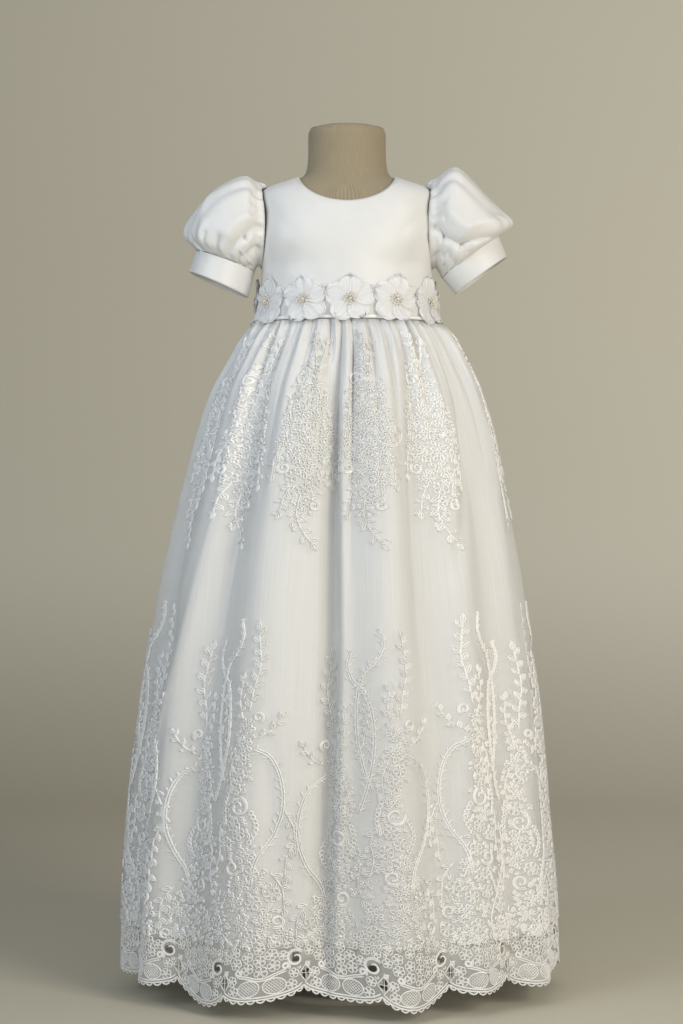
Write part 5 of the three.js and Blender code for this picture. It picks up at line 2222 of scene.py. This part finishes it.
    def in_gap(self, across: Array, up: Array) -> Array:
        """Tell which faces of the ground lie in the gaps of the lace.

        Args:
            across: Shares of the way round at their middles.
            up: Shares of the way up.

        Returns:
            True for each face in a gap.
        """
        angle = across * 360 + 90
        z = self.hem_height(angle, up)
        step = 360 / self.form.scallops
        first = self.form.scallop_notch_deg
        notch = first + np.round((angle - first) / step) * step
        edge = self.form.hem_base(notch) + self.form.scallop_rise
        mm = self.hem_half_mm / (step / 2)
        round_x = (angle - notch - self.eyelet_aside_deg) * mm
        in_round = np.hypot(round_x, z - edge - self.eyelet_rise) < self.eyelet_radius
        lozenge_x = np.abs(angle - notch - self.lozenge_aside_deg) * mm / self.lozenge_half[0]
        in_lozenge = lozenge_x + np.abs(z - edge - self.lozenge_rise) / self.lozenge_half[1] < 1
        return in_round | in_lozenge

    def lay(
        self, stitching: Stitching, strips: Strips, angle: float, top_z: float, middle_z: float
    ) -> None:
        """Lay one repeat on the overskirt.

        Args:
            stitching: Gathers the repeats.
            strips: The repeat's strips.
            angle: Angle of its origin.
            top_z: Height of its origin.
            middle_z: Height at which its width is true.
        """
        degrees = self.form.degrees_per_mm(angle, middle_z)
        around = angle + strips.flat[:, 0] * degrees
        z = np.minimum(top_z + strips.flat[:, 1], self.form.waist_z - self.waist_clearance)
        stitching.add(strips, self.form.outer(around, z, self.lift + strips.lift))

    def cascades(self, cord: Material) -> list[Piece]:
        """Stitch and dress the hanging sprays below the waist.

        Args:
            cord: Finish of the embroidery.

        Returns:
            The front's and the back's.
        """
        halves = Halves("cascade_stitching")
        nodes = {half: [] for half in halves.both}
        for index, angle in enumerate(self.cascade_degs):
            strips = self.cascade_motif(index % 4 == 3, 20 + index).strips()
            if index in self.side_cascades:
                strips.flat[:, 0] *= self.side_spread
            self.lay(halves.at(angle), strips, angle, self.cascade_top_z, self.cascade_middle_z)
            nodes[is_front(angle)].append(f"cascade_{index + 1:02d}")
        pieces = halves.pieces()
        for piece, half in zip(pieces, nodes):
            dress(piece, cord, nodes[half])
        return pieces

    def cascade_motif(self, hooked: bool, seed: int) -> Motif:
        """Draw a hanging spray of flowers, scrolls and leaves, from its top down.

        Args:
            hooked: Whether a hooked tendril grows from its side.
            seed: Seed of its scatter.

        Returns:
            The motif.
        """
        motif = Motif(self.cascade_cord, self.cord_relief)
        draw = np.random.default_rng(seed)
        motif.sprig(((1, -30), (-2, -16), (-7, -1)), 9, 6)
        motif.sprig(((4, -36), (8, -22), (10, -8)), 8, 6)
        motif.scroll(7, (-12, -44), 20 + 30 * draw.uniform())
        motif.scatter(self.cascade_hearts, draw, 2, (0.92, 1.1))
        if hooked:
            motif.double(smooth_path(self.hook, 2.0), 0.9)
            motif.rings(((16, -44), (19, -54), (17, -64)), 2.6)
        motif.sprig(((19, -120), (25, -134), (27, -150)), 8, 6)
        motif.sprig(((-22, -112), (-27, -126), (-27, -140)), 8, 6)
        motif.scroll(6.5, (-17, -134), 160)
        motif.sprig(((-8, -150), (-14, -164), (-16, -178)), 8, 6)
        motif.scroll(5.5, (12, -172), 250, True)
        motif.sprig(((0, -160), (-2, -180), (4, -197), (12, -209)), 9, 6.5)

        def inside(x: Array, y: Array) -> Array:
            """How densely the spray is filled at each place."""
            half = np.interp(-y, *zip(*self.cascade_half_widths))
            return (np.abs(x - 3 * np.sin(y / 28)) < half) * 0.98

        motif.fill(inside, (-36, 36, -195, 0), 3.0, seed)
        return motif

    def lower_sprays(self) -> list[Piece]:
        """Stitch the branches, flowers and scrolls that grow denser towards the hem.

        Returns:
            The front's and the back's.
        """
        halves = Halves("spray_stitching")
        angles = self.form.even_angles(len(self.lower_drops), self.lower_first_deg, self.lower_middle_z)
        for index, angle in enumerate(angles):
            mirror = index % 2 == 1
            top_z = self.lower_top_z - self.lower_drops[index]
            strips = self.spray_motif(mirror, top_z - self.lower_foot_z, index).strips()
            self.lay(halves.at(angle), strips, float(angle), top_z, self.lower_middle_z)
        return halves.pieces()

    def spray_motif(self, mirror: bool, length: float, seed: int) -> Motif:
        """Draw one repeat of the lower embroidery, from its top down to the hem.

        Args:
            mirror: Whether it is flipped left to right.
            length: How far down it goes.
            seed: Seed of its filling.

        Returns:
            The motif.
        """
        motif = Motif(self.spray_cord, self.cord_relief)
        draw = np.random.default_rng(40 + seed)
        motif.sprig(((4, -82), (1, -60), (-4, -38), (-2, -16), (0, -3)), 10, 6.5)
        motif.sprig(((10, -92), (16, -72), (14, -52)), 8, 6)
        motif.scroll(6, (-5, -88), 40, True)
        high, left, low = self.spray_branches
        motif.branch(high)
        motif.rings(((28, -27), (38, -36), (43, -52)))
        motif.branch(left)
        motif.branch(low)
        motif.scatter(self.spray_hearts, draw, 2.5, (0.9, 1.12))
        motif.sprig(((26, -100), (34, -88), (37, -74)), 7, 6)
        motif.sprig(((-6, -108), (-18, -100), (-27, -88)), 7, 6)
        motif.sprig(((16, -122), (22, -140), (20, -156)), 8, 6)
        motif.scroll(10, (10, -176), 130 + 60 * draw.uniform())
        motif.rings(((-2, -180), (-8, -196), (0, -214)))
        motif.rings(((22, -160), (27, -178), (24, -196)))
        motif.sprig(((24, -184), (32, -200), (30, -220), (34, -236)), 9, 6.5)
        motif.sprig(((-32, -180), (-40, -196), (-42, -216)), 8, 6.5)
        motif.scroll(8, (14, -236), 200 + 90 * draw.uniform())
        motif.sprig(((-20, -240), (-30, -256), (-32, -276)), 9, 6.5)
        motif.scroll(7, (-26, -288), 90, True)
        motif.trim(-length)

        def inside(x: Array, y: Array) -> Array:
            """How densely the repeat is filled at each place."""
            half = np.interp(-y, *zip(*self.spray_half_widths))
            return (np.abs(x - 8 - 7 * np.sin(y / 34)) < half) * 0.92 * (y > 4 - length)

        motif.fill(inside, (-44, 46, -length, -90), 3.5, seed)
        if not mirror:
            return motif
        flipped = Motif(motif.cord, motif.relief)
        flipped.put(motif, (0, 0), mirror=True)
        return flipped

    def hem_border(self) -> list[Piece]:
        """Stitch the scalloped border of the hem.

        Returns:
            The front's and the back's.
        """
        strips = self.hem_motif().strips(underside=True)
        halves = Halves("hem_border")
        step = 360 / self.form.scallops
        for index in range(self.form.scallops):
            middle = self.form.scallop_notch_deg + step * (index + 0.5)
            around = middle + strips.flat[:, 0] / self.hem_half_mm * step / 2
            z = self.form.hem_base(around) + strips.flat[:, 1]
            points = self.form.outer(around, z, strips.lift * 0.8 - 0.2)
            halves.at(middle).add(strips, points)
        return halves.pieces()

    def hem_edge(self, x: Array) -> Array:
        """Height of the scallop's edge across one repeat."""
        across = np.clip(x / self.hem_half_mm, -0.985, 0.985)
        return self.form.scallop_rise * (1 - np.sqrt(1 - across**2))

    def hem_motif(self) -> Motif:
        """Draw one repeat of the border, from the scallop's edge up.

        Returns:
            The motif.
        """
        motif = Motif(0.85, 1.0)
        half = self.hem_half_mm
        mm = half / (180 / self.form.scallops)
        eyelet = (half + self.eyelet_aside_deg * mm, self.form.scallop_rise + self.eyelet_rise)
        lozenge = (half + self.lozenge_aside_deg * mm, self.form.scallop_rise + self.lozenge_rise)
        x = np.linspace(-half, half, 41)
        edge = self.hem_edge(x) + self.edge_cord_rise
        motif.line(np.stack((x, edge), -1), 1.0)
        motif.line(np.stack((x * 0.97, edge + 2.4), -1), 1.0)
        run = run_along(np.stack((x, edge), -1))
        for k in range(self.picots):
            ends = np.interp((np.linspace(0, 1, 5) + k) / self.picots * run[-1], run, x)
            loop = self.hem_edge(ends) + self.edge_cord_rise + np.array([0, -2.2, -3.0, -2.2, 0])
            motif.line(np.stack((ends, loop), -1), 1.0)
        for side in (-1, 1):
            self.lattice(motif, (side * 11.5, 15.0), (10.0, 7.6))
        arch = smooth_path(((-22, 29), (-14, 26.5), (0, 22), (14, 26.5), (22, 29)))
        motif.double(arch, 1.0, 0.9)
        motif.scroll(4.2, (-21, 32.5), 200, True)
        motif.scroll(4.2, (21, 32.5), -20)
        for x, y, radius, petals in self.hem_blooms:
            motif.bloom(radius, petals, (x, y), 20 * radius)
        motif.scroll(9.6, eyelet, 70)
        corners = np.array(((6.2, 0), (0, 8.6), (-6.2, 0), (0, -8.6)))
        sides = [np.linspace(a, b, 3)[:-1] for a, b in zip(corners, np.roll(corners, -1, 0))]
        motif.line(np.vstack(sides) + lozenge, None, True)
        for a, b in ((0, 2), (1, 3)):
            motif.line(np.linspace(corners[a], corners[b], 3) + lozenge, 0.45)

        def inside(x: Array, y: Array) -> Array:
            """How densely the border is filled, clear of its gaps and lattices.

            Args:
                x: Places across.
                y: Places up.

            Returns:
                The density at each place.
            """
            keep = (y > self.hem_edge(x) + 6) & (y < 66)
            keep &= np.hypot((np.abs(x) - 11.5) / 11.5, (y - 15) / 9) > 1
            keep &= np.hypot(x - eyelet[0], y - eyelet[1]) > 9
            for repeat in (0, 2 * half):
                keep &= np.abs(x + repeat - lozenge[0]) / 8 + np.abs(y - lozenge[1]) / 10.5 > 1
            return keep * np.where(y > 50, 0.6, 0.95)

        motif.fill(inside, (-half, half, 4, 66), 4.0, 11)
        return motif

    def lattice(self, motif: Motif, middle: Place, half: Place) -> None:
        """Lay a diamond lattice of fine cords inside an oval.

        Args:
            motif: The motif that takes it.
            middle: The oval's middle.
            half: Its half width and half height.
        """
        turn = np.linspace(0, 360, 28, endpoint=False)
        motif.line(turned_path(1.0, turn) * half + middle, 0.8, True)
        for slope in (-1, 1):
            for offset in np.arange(-18, 18.1, 3.0):
                t = np.linspace(-1, 1, 61)[:, None]
                run = np.hstack((offset + t * 14, slope * t * 14))
                kept = run[np.hypot(run[:, 0] / half[0], run[:, 1] / half[1]) < 0.98]
                if len(kept) > 6:
                    motif.line(kept[[0, len(kept) // 2, -1]] + middle, 0.42)


# Studio


@dataclass(frozen=True)
class Lamp:
    """A soft square light that faces the gown, in metres, watts and degrees."""

    name: str
    place: Spot
    size: float
    power: float
    colour: Colour
    aim_z: float = 0.5
    spread_deg: float = 180.0

    def hang(self) -> None:
        """Hang the light."""
        lamp = bpy.data.lights.new(self.name, "AREA")
        lamp.spread = math.radians(self.spread_deg)
        lamp.energy = self.power
        lamp.size = self.size
        lamp.color = self.colour
        holder = bpy.data.objects.new(self.name, lamp)
        holder.location = self.place
        aim = Vector((0, 0, self.aim_z)) - Vector(self.place)
        holder.rotation_euler = aim.to_track_quat("-Z", "Y").to_euler()
        bpy.context.scene.collection.objects.link(holder)


WARM = (1.0, 0.93, 0.80)
COOL = (0.75, 0.87, 1.0)
LAMPS = (
    Lamp("key", (1.7, -2.2, 1.5), 1.2, 45.0, WARM),
    Lamp("fill", (-1.1, -1.3, 1.1), 0.9, 8.5, COOL),
    Lamp("high_fill", (-1.1, -1.1, 1.4), 0.7, 0.32, COOL, 0.84, 40.0),
    Lamp("bounce", (0.25, -2.3, 0.2), 1.0, 9.0, (1.0, 0.98, 0.94)),
    Lamp("top", (0.2, -0.6, 2.6), 1.4, 4.5, (1.0, 0.98, 0.95)),
)


@dataclass
class Studio:
    """Backdrop, lights and camera, in metres."""

    camera_place: Spot = (-0.0058, -2.52, 0.5)
    focal_px: float = 2400.0
    image_height_px: float = 1024.0
    sensor: float = 36.0
    floor_front: float = -4.0
    floor_back: float = 1.6
    bend: float = 0.9
    wall_height: float = 3.2
    width: float = 9.0
    world_colour: Colour = (0.60, 0.62, 0.66)
    world_strength: float = 0.38

    def build(self, paper: Material) -> None:
        """Set the stage.

        Args:
            paper: Finish of the backdrop.
        """
        self.sweep(paper)
        self.camera()
        for lamp in LAMPS:
            lamp.hang()
        world = bpy.data.worlds.new("studio")
        world.use_nodes = True
        sky = world.node_tree.nodes["Background"].inputs
        sky[0].default_value = (*self.world_colour, 1)
        sky[1].default_value = self.world_strength
        bpy.context.scene.world = world
        bpy.context.scene.view_settings.view_transform = "Standard"

    def sweep(self, paper: Material) -> Piece:
        """Build a floor that curves up into a backdrop.

        Args:
            paper: Its finish.

        Returns:
            The piece.
        """
        flat, curve = self.floor_back - self.floor_front, self.bend * math.pi / 2

        def point_at(across: Array, up: Array) -> Array:
            """Points of the floor, the bend and the wall.

            Args:
                across: Shares of the way across.
                up: Shares of the way from the floor's front to the wall's top.

            Returns:
                The points.
            """
            run = up * (flat + curve + self.wall_height)
            turn = np.clip((run - flat) / self.bend, 0, math.pi / 2)
            y = np.minimum(run, flat) + self.floor_front + self.bend * np.sin(turn)
            z = self.bend * (1 - np.cos(turn)) + np.maximum(run - flat - curve, 0)
            return np.stack(((across - 0.5) * self.width, y, z), -1) / MM

        piece = grid_piece("studio_sweep", 8, 96, point_at, (self.width, self.width))
        piece.data.materials.append(paper)
        return piece

    def camera(self) -> None:
        """Aim the camera level at the gown, as the photograph does."""
        lens = bpy.data.cameras.new("camera")
        lens.sensor_fit = "VERTICAL"
        lens.sensor_height = self.sensor
        lens.lens = self.sensor * self.focal_px / self.image_height_px
        eye = bpy.data.objects.new("camera", lens)
        eye.location = self.camera_place
        eye.rotation_euler = (math.pi / 2, 0, 0)
        bpy.context.scene.collection.objects.link(eye)
        bpy.context.scene.camera = eye


def main() -> None:
    """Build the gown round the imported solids."""
    logging.basicConfig(level=logging.INFO, format="%(name)s: %(message)s")
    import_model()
    finish = GownFinishes(
        satin=SatinFinish().material(),
        organza=SheerFinish("sheer_organza", opacity=0.32, streak=0.06, gathered=0.2).material(),
        net=SheerFinish("fine_net", opacity=0.2, streak=0.04, thread=0.0022).material(),
        petal=SheerFinish("petal_organza", (0.95, 0.95, 0.96), opacity=0.6, streak=0.3).material(),
        cord=ThreadFinish().material(),
        pearl=PearlFinish().material(),
    )
    Studio().build(BackdropFinish().material())
    DressForm().build(LinenFinish().material(), PaintFinish().material())
    Bodice().build(finish.satin)
    Sleeve(Side.LEFT, LEFT_SLEEVE, LEFT_CUFF).build(finish.satin)
    Sleeve(Side.RIGHT, RIGHT_SLEEVE, RIGHT_CUFF).build(finish.satin)
    WaistTrim().build(finish)
    Skirts().build(finish)


if __name__ == "__main__":
    main()
